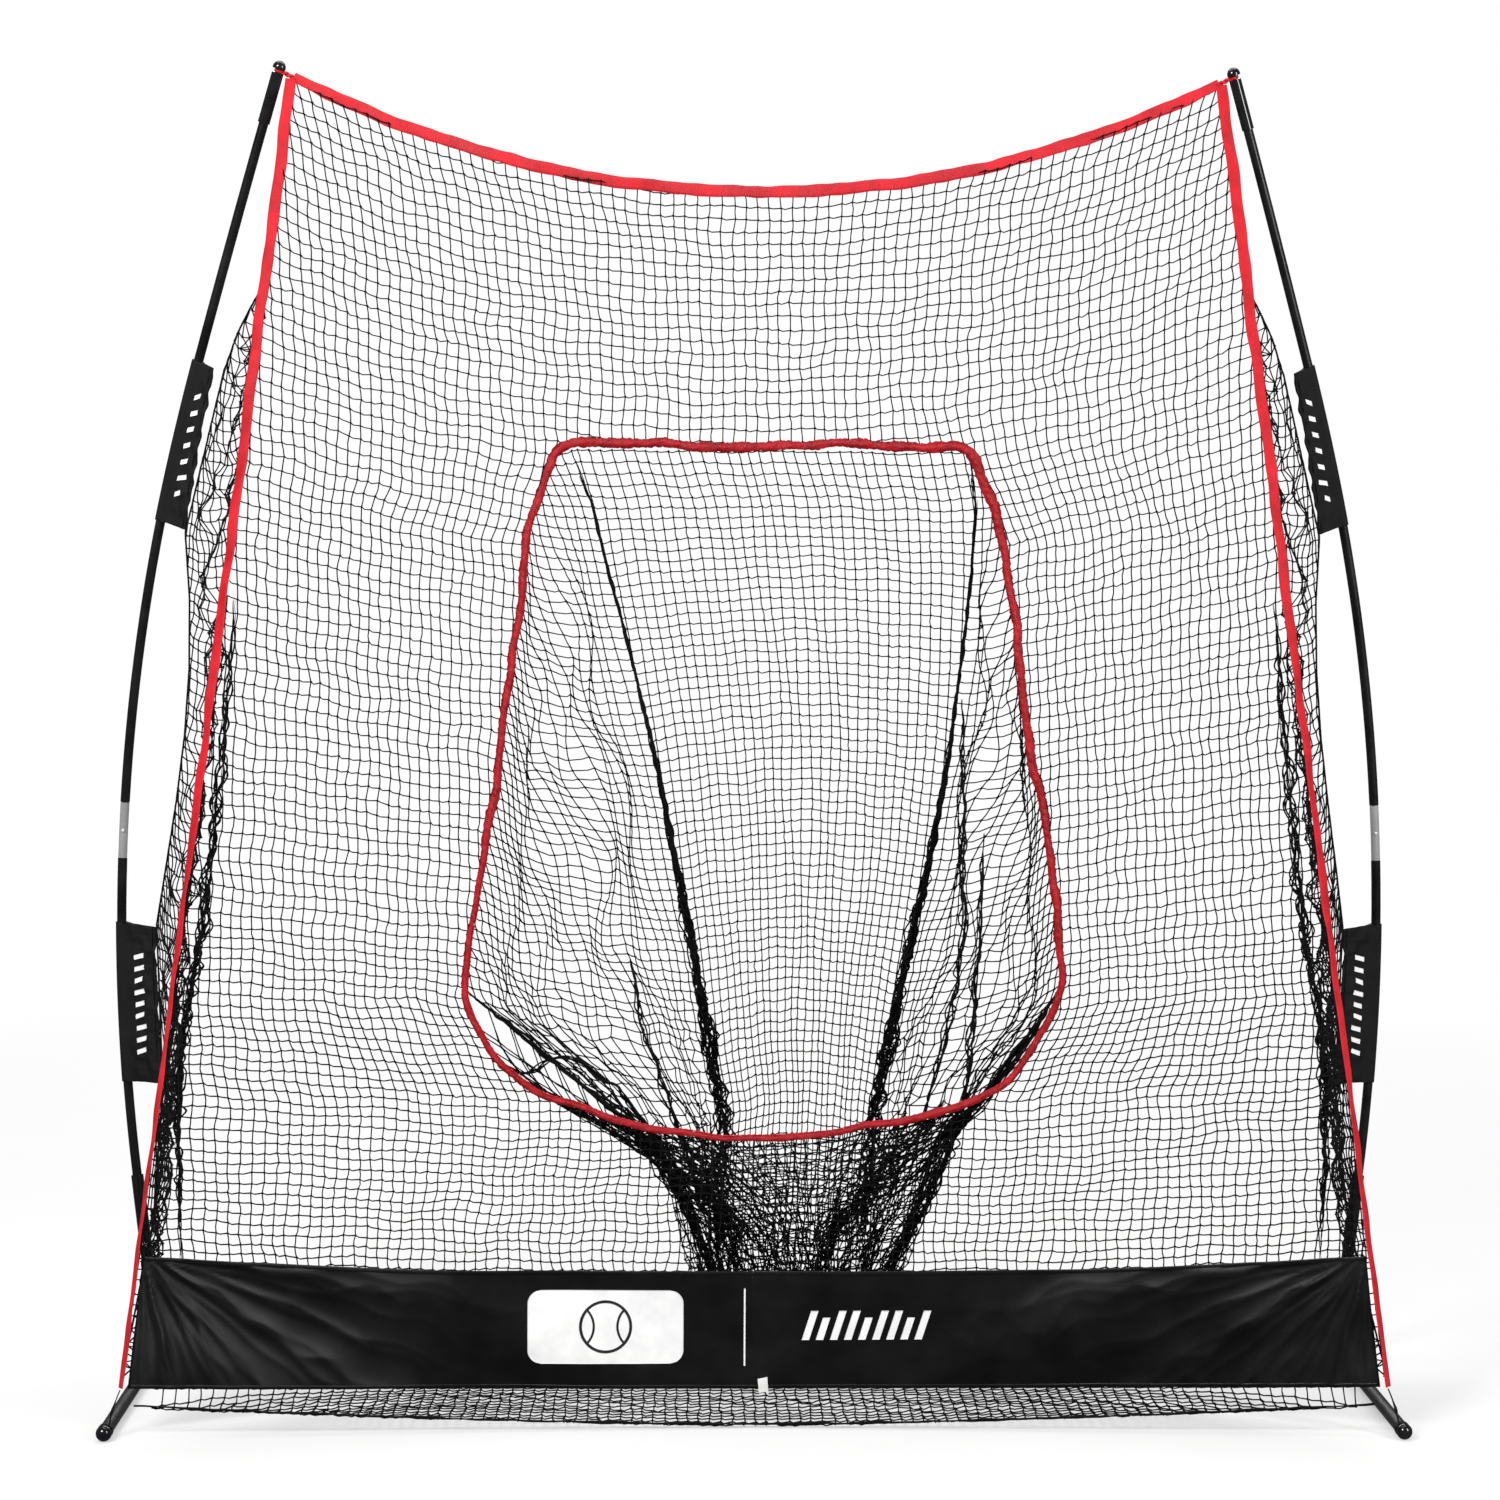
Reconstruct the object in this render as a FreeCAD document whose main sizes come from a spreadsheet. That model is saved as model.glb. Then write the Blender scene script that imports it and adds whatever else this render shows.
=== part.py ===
import FreeCAD, Part
import math
import os

from FreeCAD import Placement, Rotation, Vector

os.makedirs("parts", exist_ok=True)
doc = FreeCAD.newDocument("pitching_target_net")

# Frame of the part: +X to the pitcher's right, +Y away from the pitcher, +Z up.
# The origin is on the floor under the middle of the rear crossbar.
# All lengths are in millimetres, all angles in degrees.

SIZES = {
    # floor frame
    "base_width": 2134, "leg_length": 580,
    "bar_dia": 22, "bar_wall": 1.5, "slide_gap": 0.1,
    "bracket_wall": 2, "bracket_reach": 95, "bracket_stop": 20, "bar_end_gap": 2,
    "coupler_length": 240, "coupler_wall": 1.5, "mid_gap": 2,
    "pad_length": 70, "pad_width": 44, "pad_drop": 1,
    "bolt_dia": 6, "bolt_place": 70, "bolt_head_dia": 10, "bolt_head_height": 4,
    "nut_across": 10, "nut_height": 5, "bolt_tail": 2,
    "ball_seat": 9.1, "plug_length": 42,
    # leaning sockets
    "socket_lean": 6.5, "socket_wall": 2.5, "socket_play": 0.2, "socket_top": 320,
    "boss_wall": 2.5, "boss_top": 52, "boss_stop": 18, "stop_place": 195, "stop_dia": 5,
    "stop_head_dia": 8, "stop_head_height": 1.5, "stop_head_gap": 0.3, "stop_play": 0.5,
    # bowed poles, measured along the pole from the corner of the floor frame
    "bow_heading": 26, "bow_radius_low": 3180, "bow_radius_top": 30000,
    "pole_dia": 16.6, "pole_bore": 9, "ferrule_wall": 1.5, "section_length": 750,
    "top_section_length": 586, "ferrule_step": 0.5, "ferrule_length": 100, "joint_gap": 2,
    "core_stagger": 9.1,
    # snap buttons
    "button_dia": 7, "button_gap": 0.25, "button_root": 2.6,
    "coupler_button_place": 70, "leg_button_place": 55,
    # tip caps
    "cap_wall": 2.2, "cap_length": 88, "cap_grip": 60, "cap_neck_dia": 11,
    "cap_neck_length": 9, "cap_overhang": 1, "cap_rim": 2,
    # netting, cloth and webbing
    "net_thickness": 2, "cloth_thickness": 3, "cloth_gap": 1, "binding_width": 20,
    "face_margin": 27, "top_sag": 190, "corner_drop": 8,
    "corner_inset": 22, "corner_run": 507, "net_foot_back": 20,
    # mouth of the pocket: its outline's corners from the top down, and their radii
    "mouth_shift": 18, "mouth_top": 1636, "mouth_top_inset": 165, "mouth_top_radius": 40,
    "mouth_shoulder": 1490, "mouth_shoulder_inset": 105, "mouth_shoulder_radius": 600,
    "mouth_cheek": 700, "mouth_cheek_half": 515, "mouth_cheek_radius": 160,
    "mouth_jaw": 530, "mouth_jaw_inset": 75, "mouth_jaw_radius": 200,
    "mouth_bottom": 396, "mouth_bottom_radius": 1000, "rim_dia": 15,
    "sack_back": 385, "sack_floor": 95, "sack_floor_half": 132, "sack_front": 130,
    "sack_swing": 55, "banner_top": 209, "banner_end_top": 297, "banner_end_foot": 82,
    "hem_middle_back": 87, "hem_end_back": 35, "hem_width": 14, "hem_inset": 65,
    "label_width": 17, "label_length": 36, "label_thickness": 0.8,
    "wing_rise": 400, "wing_foot": 110, "wing_pull": 0.55,
    "sleeve_low_drop": 258, "sleeve_low_length": 290, "sleeve_low_width": 86,
    "sleeve_top_rise": 6, "sleeve_top_length": 290, "sleeve_top_width": 62,
    "sleeve_wall": 1.6, "sleeve_gap": 0.4, "sleeve_turn": 37,
    "strap_width": 22, "strap_thickness": 1.5, "strap_root_turn": 57.3,
}
# Sizes that follow from others, so that neighbours keep their fit.
FITS = {
    "bracket_dia": "bar_dia + 2 * bracket_wall", "axis_height": "bracket_dia / 2",
    "ball_dia": "bracket_dia", "pad_height": "axis_height - pad_drop",
    "socket_bore": "pole_dia + 2 * socket_play", "socket_dia": "socket_bore + 2 * socket_wall",
    "boss_dia": "socket_dia + 2 * boss_wall", "ferrule_dia": "pole_dia - 2 * ferrule_step",
    "core_dia": "ferrule_dia - 2 * (ferrule_wall + slide_gap)",
    "cap_dia": "pole_dia + 2 * cap_wall", "cap_head_dia": "cap_dia + 2 * cap_overhang",
    "mouth_top_half": "mouth_cheek_half - mouth_top_inset",
    "mouth_shoulder_half": "mouth_cheek_half - mouth_shoulder_inset",
    "mouth_jaw_half": "mouth_cheek_half - mouth_jaw_inset",
    "face_half_flat": "max(mouth_cheek_half + mouth_shift + face_margin; "
                      "base_width / 2 - corner_run)",
    "net_foot_inset": "bar_dia", "net_foot_height": "axis_height + 2.5 * bar_dia",
    "sleeve_low_start": "section_length - sleeve_low_drop",
    "sleeve_top_start": "2 * section_length + sleeve_top_rise",
    "wing_top": "2 * section_length + wing_rise",
    "net_foot_forward": "leg_length - net_foot_back",
    "hem_setback": "leg_length - hem_middle_back", "hem_end": "leg_length - hem_end_back",
}

sheet = doc.addObject("Spreadsheet::Sheet", "Sizes")
for row, (alias, value) in enumerate(SIZES.items(), start=1):
    sheet.set(f"A{row}", alias)
    sheet.set(f"B{row}", str(value))
    sheet.setAlias(f"B{row}", alias)
for row, (alias, formula) in enumerate(FITS.items(), start=len(SIZES) + 1):
    sheet.set(f"A{row}", alias)
    sheet.set(f"B{row}", f"={formula}")
    sheet.setAlias(f"B{row}", alias)
doc.recompute()

SIDES = {"left": -1, "right": 1}
UP = Vector(0, 0, 1)
RIGHT = Vector(1, 0, 0)
BACK = Vector(0, 1, 0)
FORWARD = Vector(0, -1, 0)
OVER = 1  # how far a cutting tool or a fused solid runs past the face it meets
RUN_SHARE = 0.98  # share of a run between two corners that their arcs may take
nodes = []


def size(alias):
    """Value of one driving dimension."""
    return float(sheet.get(alias))


def bind(thing, **formulas):
    """Bind properties to formulas of the sheet's sizes, such as 'Sizes.bar_dia / 2'."""
    for prop, formula in formulas.items():
        thing.setExpression(prop, formula)
    return thing


def at(point, direction=UP):
    """Placement with local +Z along a direction."""
    return Placement(point, Rotation(UP, direction))


def rod(radius, length, place):
    """Cylinder from a place along its local +Z."""
    thing = doc.addObject("Part::Cylinder", "rod")
    bind(thing, Radius=radius, Height=length)
    thing.Placement = place
    return thing


def ball(radius, point):
    thing = doc.addObject("Part::Sphere", "ball")
    bind(thing, Radius=radius)
    thing.Placement = Placement(point, Rotation())
    return thing


def block(length, width, height, place):
    thing = doc.addObject("Part::Box", "block")
    bind(thing, Length=length, Width=width, Height=height)
    thing.Placement = place
    return thing


def fuse(*things):
    thing = doc.addObject("Part::MultiFuse", "fused")
    thing.Shapes = list(things)
    return thing


def cut(base, *tools):
    """Base less its tools."""
    thing = doc.addObject("Part::Cut", "cut")
    thing.Base = base
    thing.Tool = tools[0] if len(tools) == 1 else fuse(*tools)
    return thing


def group(*things):
    thing = doc.addObject("Part::Compound", "group")
    thing.Links = list(things)
    return thing


def node(label, thing):
    """Name a finished sub-part."""
    thing.Label = label
    nodes.append(thing)
    return thing


def shaped(label, shape):
    """Sub-part whose shape is made by hand from the sheet's sizes."""
    thing = doc.addObject("Part::Feature", label)
    thing.Shape = shape
    thing.Placement = Placement()
    return node(label, thing)


def plate(points, thickness, outward):
    """Flat plate over a planar outline, thickened towards the outward side."""
    face = Part.Face(Part.makePolygon(points + points[:1]))
    normal = (points[1] - points[0]).cross(points[2] - points[0]).normalize()
    if normal.dot(outward) < 0:
        normal = normal * -1
    return face.extrude(normal * thickness)


def between(start, end, share):
    return start + (end - start) * share


# ---- the line of a bowed pole ----

LEAN = math.radians(size("socket_lean"))
HEADING = math.radians(size("bow_heading"))
FERRULE_LOW = size("stop_place") + size("stop_dia") / 2 + size("section_length")
FERRULE_TOP = FERRULE_LOW + size("section_length")
BEND_CHANGE = FERRULE_TOP + size("ferrule_length") / 2
POLE_END = FERRULE_TOP + size("top_section_length")


class Bow:
    """Line of one pole: straight in its socket, then two tangent arcs of one plane."""

    def __init__(self, side):
        corner = Vector(side * size("base_width") / 2, 0, size("axis_height"))
        heading = Vector(-side * math.cos(HEADING), -math.sin(HEADING), 0)
        axis = Vector(side * math.sin(LEAN), 0, math.cos(LEAN))
        self.corner = corner
        self.axis = axis
        inward = (heading - axis * heading.dot(axis)).normalize()
        self.arcs = []
        point = corner + axis * size("socket_top")
        start = size("socket_top")
        for radius, end in ((size("bow_radius_low"), BEND_CHANGE), (size("bow_radius_top"), 1e6)):
            centre = point + inward * radius
            self.arcs.append((start, radius, centre, axis, inward))
            turn = (end - start) / radius
            axis, inward = self._turned(axis, inward, turn)
            point = centre - inward * radius
            start = end

    @staticmethod
    def _turned(axis, inward, turn):
        cosine, sine = math.cos(turn), math.sin(turn)
        return axis * cosine + inward * sine, inward * cosine - axis * sine

    def frame(self, run):
        """Point, tangent and inward normal at a distance along the pole."""
        if run <= size("socket_top"):
            return self.corner + self.axis * run, self.axis, self.arcs[0][4]
        start, radius, centre, axis, inward = [a for a in self.arcs if a[0] <= run][-1]
        axis, inward = self._turned(axis, inward, (run - start) / radius)
        return centre - inward * radius, axis, inward

    def arc_place(self, run, which):
        """Placement of a torus that starts at a distance along the pole."""
        start, radius, centre, axis, inward = self.arcs[which]
        axis, inward = self._turned(axis, inward, (run - start) / radius)
        outward = inward * -1
        return Placement(centre, Rotation(outward, axis, outward.cross(axis), "XYZ"))

    def rod(self, radius, run, end):
        """Round bar along the pole between two distances, from the pieces that it crosses."""
        bars = []
        straight_end = size("socket_top")
        if run < straight_end:
            bar = doc.addObject("Part::Cylinder", "bar")
            bind(bar, Radius=radius)
            bar.Height = min(end, straight_end) - run
            bar.Placement = at(self.frame(run)[0], self.axis)
            bars.append(bar)
        limits = [(straight_end, BEND_CHANGE, "bow_radius_low"), (BEND_CHANGE, 1e6, "bow_radius_top")]
        for which, (low, high, bow_radius) in enumerate(limits):
            first, last = max(run, low), min(end, high)
            if last - first < 1e-6:
                continue
            bar = doc.addObject("Part::Torus", "bar")
            bind(bar, Radius1=f"Sizes.{bow_radius}", Radius2=radius)
            bar.Angle3 = math.degrees((last - first) / size(bow_radius))
            bar.Placement = self.arc_place(first, which)
            bars.append(bar)
        return bars[0] if len(bars) == 1 else fuse(*bars)


bows = {name: Bow(side) for name, side in SIDES.items()}


# ---- floor frame ----

HALF_BASE = size("base_width") / 2
AXIS = size("axis_height")
BAR_END = HALF_BASE - size("bracket_stop") - size("bar_end_gap")
BAR_RADIUS = "Sizes.bar_dia / 2"
BAR_BORE = "Sizes.bar_dia / 2 - Sizes.bar_wall"
CROSS_LENGTH = "(Sizes.base_width - Sizes.mid_gap) / 2 - Sizes.bracket_stop - Sizes.bar_end_gap"
BUTTON_HOLE = "Sizes.button_dia / 2 + Sizes.button_gap"


def button(label, point, outward, surface):
    """Snap button: a short stem with a domed head that stands proud of the tube it locks."""
    stem = rod("Sizes.button_dia / 2", f"{surface} - Sizes.button_root",
               at(point + outward * size("button_root"), outward))
    length = size(surface.split(".")[1].split(" ")[0]) / 2
    return node(label, fuse(stem, ball("Sizes.button_dia / 2", point + outward * length)))


def button_hole(point, outward):
    return rod(BUTTON_HOLE, "Sizes.bar_dia", at(point, outward))


for name, side in SIDES.items():
    inward = RIGHT * -side
    corner = Vector(side * HALF_BASE, 0, AXIS)
    # crossbar half, with the coupler's button hole and the cross bolt's hole
    start = Vector(side * size("mid_gap") / 2, 0, AXIS)
    hole = button_hole(Vector(side * size("coupler_button_place"), 0, AXIS), UP)
    bolt_point = Vector(side * (HALF_BASE - size("bolt_place")), 0, AXIS)
    bolt_hole = rod("Sizes.bolt_dia / 2 + Sizes.slide_gap", "Sizes.bracket_dia * 2",
                    at(bolt_point - BACK * size("bracket_dia"), BACK))
    tube = cut(rod(BAR_RADIUS, CROSS_LENGTH, at(start, RIGHT * side)),
               rod(BAR_BORE, CROSS_LENGTH, at(start, RIGHT * side)), hole, bolt_hole)
    node(f"crossbar_{name}", tube)
    # corner bracket: two stubs, an elbow and a boss for the leaning socket
    stub_x = rod("Sizes.bracket_dia / 2", "Sizes.bracket_reach", at(corner, inward))
    stub_y = rod("Sizes.bracket_dia / 2", "Sizes.bracket_reach", at(corner, BACK * -1))
    boss = rod("Sizes.boss_dia / 2", "Sizes.boss_top", at(corner, bows[name].axis))
    elbow = ball("Sizes.bracket_dia / 2", corner)
    bore_length = "Sizes.bracket_reach - Sizes.bracket_stop"
    bore_x = rod("Sizes.bar_dia / 2 + Sizes.slide_gap", bore_length,
                 at(corner + inward * size("bracket_stop"), inward))
    bore_y = rod("Sizes.bar_dia / 2 + Sizes.slide_gap", bore_length,
                 at(corner - BACK * size("bracket_stop"), BACK * -1))
    boss_bore = rod("Sizes.socket_dia / 2 + Sizes.slide_gap", "Sizes.boss_top",
                    at(bows[name].frame(size("boss_stop"))[0], bows[name].axis))
    leg_button_point = corner - BACK * size("leg_button_place")
    bracket_bolt_hole = rod("Sizes.bolt_dia / 2 + Sizes.slide_gap", "Sizes.bracket_dia * 2",
                            at(bolt_point - BACK * size("bracket_dia"), BACK))
    node(f"corner_bracket_{name}",
         cut(fuse(stub_x, stub_y, boss, elbow), bore_x, bore_y, boss_bore, bracket_bolt_hole,
             button_hole(leg_button_point, UP)))
    # leg, ball plug and their snap button
    leg_start = corner - BACK * (size("bracket_stop") + size("bar_end_gap"))
    leg_run = "Sizes.leg_length - Sizes.bracket_stop - Sizes.bar_end_gap - Sizes.ball_seat"
    node(f"leg_{name}",
         cut(rod(BAR_RADIUS, leg_run, at(leg_start, BACK * -1)),
             rod(BAR_BORE, leg_run, at(leg_start, BACK * -1)), button_hole(leg_button_point, UP)))
    foot = corner - BACK * size("leg_length")
    plug = rod("Sizes.bar_dia / 2 - Sizes.bar_wall - Sizes.slide_gap", "Sizes.plug_length",
               at(foot, BACK))
    seat = rod("Sizes.bar_dia / 2 + Sizes.slide_gap", "Sizes.ball_dia",
               at(foot + BACK * size("ball_seat"), BACK))
    node(f"foot_ball_{name}",
         fuse(cut(ball("Sizes.ball_dia / 2", foot), seat), plug))
    button(f"leg_button_{name}", leg_button_point, UP, "Sizes.bracket_dia / 2")
    button(f"crossbar_button_{name}", Vector(side * size("coupler_button_place"), 0, AXIS), UP,
           "Sizes.bar_dia / 2")

# coupler inside the two crossbar halves, and the pad that the middle stands on
COUPLER_RADIUS = "Sizes.bar_dia / 2 - Sizes.bar_wall - Sizes.slide_gap"
coupler_start = at(Vector(-size("coupler_length") / 2, 0, AXIS), RIGHT)
coupler_holes = [button_hole(Vector(side * size("coupler_button_place"), 0, AXIS), UP)
                 for side in SIDES.values()]
node("crossbar_coupler",
     cut(rod(COUPLER_RADIUS, "Sizes.coupler_length", coupler_start),
         rod(f"{COUPLER_RADIUS} - Sizes.coupler_wall", "Sizes.coupler_length", coupler_start),
         *coupler_holes))
pad_corner = Vector(-size("pad_length") / 2, -size("pad_width") / 2, 0)
node("crossbar_pad",
     cut(block("Sizes.pad_length", "Sizes.pad_width", "Sizes.pad_height",
               Placement(pad_corner, Rotation())),
         rod("Sizes.bar_dia / 2 + Sizes.slide_gap", "Sizes.pad_length * 2",
             at(Vector(-size("pad_length"), 0, AXIS), RIGHT))))

# cross bolts and their nuts
bolts, nuts = [], []
for side in SIDES.values():
    point = Vector(side * (HALF_BASE - size("bolt_place")), 0, AXIS)
    face = size("bracket_dia") / 2
    tail = face + size("nut_height") + size("bolt_tail")
    shank = rod("Sizes.bolt_dia / 2",
                "Sizes.bracket_dia + Sizes.bolt_head_height + Sizes.nut_height + Sizes.bolt_tail",
                at(point - BACK * (face + size("bolt_head_height")), BACK))
    head = rod("Sizes.bolt_head_dia / 2", "Sizes.bolt_head_height",
               at(point - BACK * (face + size("bolt_head_height")), BACK))
    bolts.append(fuse(shank, head))
    prism = doc.addObject("Part::Prism", "nut")
    prism.Polygon = 6
    bind(prism, Circumradius="Sizes.nut_across / 2 / cos(30)", Height="Sizes.nut_height")
    prism.Placement = at(point + BACK * face, BACK)
    nuts.append(cut(prism, rod("Sizes.bolt_dia / 2 + Sizes.slide_gap", "Sizes.nut_height * 2",
                               at(point + BACK * (face - OVER), BACK))))
node("bracket_bolts", group(*bolts))
node("bracket_nuts", group(*nuts))

# ---- sockets, poles and caps ----

stops = []
for name, side in SIDES.items():
    bow = bows[name]
    stop_point = bow.frame(size("stop_place"))[0]
    reach = size("socket_dia") / 2 + size("stop_head_height")
    socket_start = at(bow.frame(size("boss_stop") + size("bar_end_gap") / 2)[0], bow.axis)
    socket_length = "Sizes.socket_top - Sizes.boss_stop - Sizes.bar_end_gap / 2"
    node(f"pole_socket_{name}",
         cut(rod("Sizes.socket_dia / 2", socket_length, socket_start),
             rod("Sizes.socket_bore / 2", socket_length, socket_start),
             rod("Sizes.stop_dia / 2 + Sizes.slide_gap", "Sizes.socket_dia * 2",
                 at(stop_point - BACK * size("socket_dia"), BACK))))
    shank = rod("Sizes.stop_dia / 2", "Sizes.socket_dia + Sizes.stop_head_height * 2",
                at(stop_point - BACK * reach, BACK))
    heads = [rod("Sizes.stop_head_dia / 2", "Sizes.stop_head_height",
                 at(stop_point + BACK * way * (size("socket_dia") / 2 + size("stop_head_gap")),
                    BACK * way)) for way in (-1, 1)]
    stops.append(fuse(shank, *heads))

    # three sections; the cores of two neighbours meet inside a ferrule
    half_ferrule = size("ferrule_length") / 2
    overlap = size("core_stagger")
    low_start = size("stop_place") + size("stop_dia") / 2 + size("stop_play")
    gap = size("joint_gap") / 2
    button_point, tangent, unused = bow.frame(FERRULE_LOW)
    outward = BACK * -1 - tangent * (BACK * -1).dot(tangent)
    outward.normalize()
    lock_hole = button_hole(button_point, outward)
    sections = {
        "lower": (low_start, FERRULE_LOW - half_ferrule - gap,
                  low_start, FERRULE_LOW - overlap - gap),
        "middle": (FERRULE_LOW + half_ferrule + gap, FERRULE_TOP - half_ferrule - gap,
                   FERRULE_LOW - overlap, FERRULE_TOP - gap),
        "upper": (FERRULE_TOP + half_ferrule + gap, POLE_END,
                  FERRULE_TOP + gap, POLE_END),
    }
    for part, (skin_start, skin_end, core_start, core_end) in sections.items():
        solid = fuse(bow.rod("Sizes.pole_dia / 2", skin_start, skin_end),
                     bow.rod("Sizes.core_dia / 2", core_start, core_end))
        tools = [bow.rod("Sizes.pole_bore / 2", core_start, core_end)]
        if part == "middle":
            tools.append(button_hole(button_point, outward))
        node(f"pole_{part}_{name}", cut(solid, *tools))
    for part, middle in (("lower", FERRULE_LOW), ("upper", FERRULE_TOP)):
        start, end = middle - half_ferrule, middle + half_ferrule
        tools = [bow.rod("Sizes.core_dia / 2 + Sizes.slide_gap", start, end)]
        if part == "lower":
            tools.append(lock_hole)
        node(f"ferrule_{part}_{name}",
             cut(bow.rod("Sizes.ferrule_dia / 2", start, end), *tools))
    button(f"pole_button_{name}", button_point, outward, "Sizes.ferrule_dia / 2")

    # mushroom-headed cap over the pole's end
    end_point, tip_axis, unused = bow.frame(POLE_END)
    cap_start = end_point - tip_axis * size("cap_grip")
    neck_start = cap_start + tip_axis * size("cap_length")
    head_start = neck_start + tip_axis * size("cap_neck_length")
    dome = cut(ball("Sizes.cap_head_dia / 2", head_start),
               rod("Sizes.cap_head_dia * 2", "Sizes.cap_head_dia * 2",
                   at(head_start, tip_axis * -1)))
    dome_rim = rod("Sizes.cap_head_dia / 2", "Sizes.cap_rim",
                   at(head_start - tip_axis * size("cap_rim"), tip_axis))
    grip_bore = bow.rod("Sizes.pole_dia / 2 + Sizes.slide_gap",
                        POLE_END - size("cap_grip") - OVER, POLE_END)
    node(f"tip_cap_{name}",
         cut(fuse(rod("Sizes.cap_dia / 2", "Sizes.cap_length", at(cap_start, tip_axis)),
                  rod("Sizes.cap_neck_dia / 2", f"Sizes.cap_neck_length + {OVER}",
                      at(neck_start - tip_axis * OVER, tip_axis)), dome, dome_rim), grip_bore))
node("pole_stops", group(*stops))

# ---- cloth, netting and webbing ----

NET = size("net_thickness")
CLOTH = size("cloth_thickness")
GAP = size("cloth_gap")


def neck(name):
    """Middle of a cap's neck."""
    end_point, tip_axis, unused = bows[name].frame(POLE_END)
    run = size("cap_length") - size("cap_grip") + size("cap_neck_length") / 2
    return end_point + tip_axis * run


def net_head(name):
    """Top corner of the net, just inside and below the cap's neck."""
    point = neck(name)
    side = SIDES[name]
    return Vector(point.x - side * size("corner_inset"), point.y, point.z - size("corner_drop"))


def net_foot(name):
    """Bottom corner of the net, above the front end of the leg."""
    side = SIDES[name]
    return Vector(side * (HALF_BASE - size("net_foot_inset")), -size("net_foot_forward"),
                  size("net_foot_height"))


def edge(name, height):
    """Point on the tight side edge of the net at a height."""
    head, foot = net_head(name), net_foot(name)
    return between(foot, head, (height - foot.z) / (head.z - foot.z))


head_right = net_head("right")
FACE = head_right.y + CLOTH / 2 + GAP
TOP_RADIUS = (head_right.x ** 2 + size("top_sag") ** 2) / (2 * size("top_sag"))
TOP_LOW = head_right.z - size("top_sag")


def top_line(across, drop=0.0):
    """Height of the sagging top edge, or of a line a given distance below it."""
    return TOP_LOW + TOP_RADIUS - math.sqrt((TOP_RADIUS + drop) ** 2 - across ** 2)


def frame_along(start, end, across):
    """Placement at start: local +Z runs to the end, local +X lies nearest to across."""
    along = (end - start).normalize()
    sideways = (across - along * across.dot(along)).normalize()
    return Placement(start, Rotation(sideways, along.cross(sideways), along, "XYZ"))


def strip(label, start, end, width, thickness, across):
    """Flat strap between two points, with its width nearest to across."""
    run = doc.addObject("Part::Box", "strap")
    bind(run, Length=width, Width=thickness)
    run.Height = (end - start).Length
    doc.recompute()
    shift = Vector(-run.Length.Value / 2, -run.Width.Value / 2, 0)
    run.Placement = frame_along(start, end, across) * Placement(shift, Rotation())
    return node(label, run) if label else run


# top binding: a band that follows the sag, its ends short of the corner loops
trim = 1 - size("binding_width") / head_right.x


def band_edge(drop):
    half = head_right.x * trim
    ends = [Vector(x, head_right.y - CLOTH / 2, top_line(x, drop)) for x in (-half, 0, half)]
    return Part.Arc(*ends).toShape()


upper, lower = band_edge(-size("binding_width") / 2), band_edge(size("binding_width") / 2)
rims = [Part.makeLine(upper.Vertexes[i].Point, lower.Vertexes[i].Point) for i in (0, 1)]
outline = Part.Wire(Part.__sortEdges__([upper, lower, *rims]))
shaped("top_binding", Part.Face(outline).extrude(BACK * CLOTH))

for name, side in SIDES.items():
    head, foot = net_head(name), net_foot(name)
    start = between(foot, head, size("strap_width") / (head - foot).Length)
    end = between(head, foot, size("binding_width") / (head - foot).Length)
    strip(f"side_binding_{name}", start, end, "Sizes.binding_width", "Sizes.cloth_thickness",
          RIGHT)

# pocket rim: a round tube along a rounded nine-cornered outline in the plane of the face
RIM = size("rim_dia") / 2
SHIFT = size("mouth_shift")
DOWN_SIDE = ("top", "shoulder", "cheek", "jaw")


def mouth_corner(key, side, depth=0.0):
    """Corner of the mouth's outline, or the place behind it at a depth."""
    return Vector(SHIFT + side * size(f"mouth_{key}_half"), depth, size(f"mouth_{key}"))


MOUTH = [mouth_corner("top", -1)] + [mouth_corner(key, 1) for key in DOWN_SIDE]
MOUTH += [Vector(SHIFT, 0, size("mouth_bottom"))]
MOUTH += [mouth_corner(key, -1) for key in reversed(DOWN_SIDE[1:])]
MOUTH_RADII = [size(f"mouth_{key}_radius")
               for key in ("top", *DOWN_SIDE, "bottom", *reversed(DOWN_SIDE[1:]))]


def rounded(points, radii):
    """Closed wire of straight runs joined by tangent arcs, made tighter where a run is short."""
    count = len(points)
    halves = [(points[i - 1] - point).getAngle(points[(i + 1) % count] - point) / 2
              for i, point in enumerate(points)]
    reaches = [radius / math.tan(half) for radius, half in zip(radii, halves)]
    room = [RUN_SHARE * (points[i - 1] - points[i]).Length / (reaches[i - 1] + reaches[i])
            for i in range(count)]
    corners = []
    for i, point in enumerate(points):
        before = (points[i - 1] - point).normalize()
        after = (points[(i + 1) % count] - point).normalize()
        ease = min(1, room[i], room[(i + 1) % count])
        reach, radius = reaches[i] * ease, radii[i] * ease
        middle = (before + after).normalize()
        apex = point + middle * (radius / math.sin(halves[i]) - radius)
        corners.append((point + before * reach, apex, point + after * reach))
    edges = []
    for i, (start, apex, end) in enumerate(corners):
        edges.append(Part.Arc(start, apex, end).toShape())
        edges.append(Part.makeLine(end, corners[(i + 1) % count][0]))
    return Part.Wire(edges)


rim_plane = BACK * (FACE + NET / 2)
rim_path = rounded([point + rim_plane for point in MOUTH], MOUTH_RADII)
rim_start = rim_path.Edges[1]
section = Part.Wire(Part.makeCircle(RIM, rim_start.valueAt(0), rim_start.tangentAt(0)))
turned_path = Part.Wire(rim_path.Edges[1:] + rim_path.Edges[:1])
shaped("pocket_rim", turned_path.makePipeShell([section], True, True))

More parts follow.
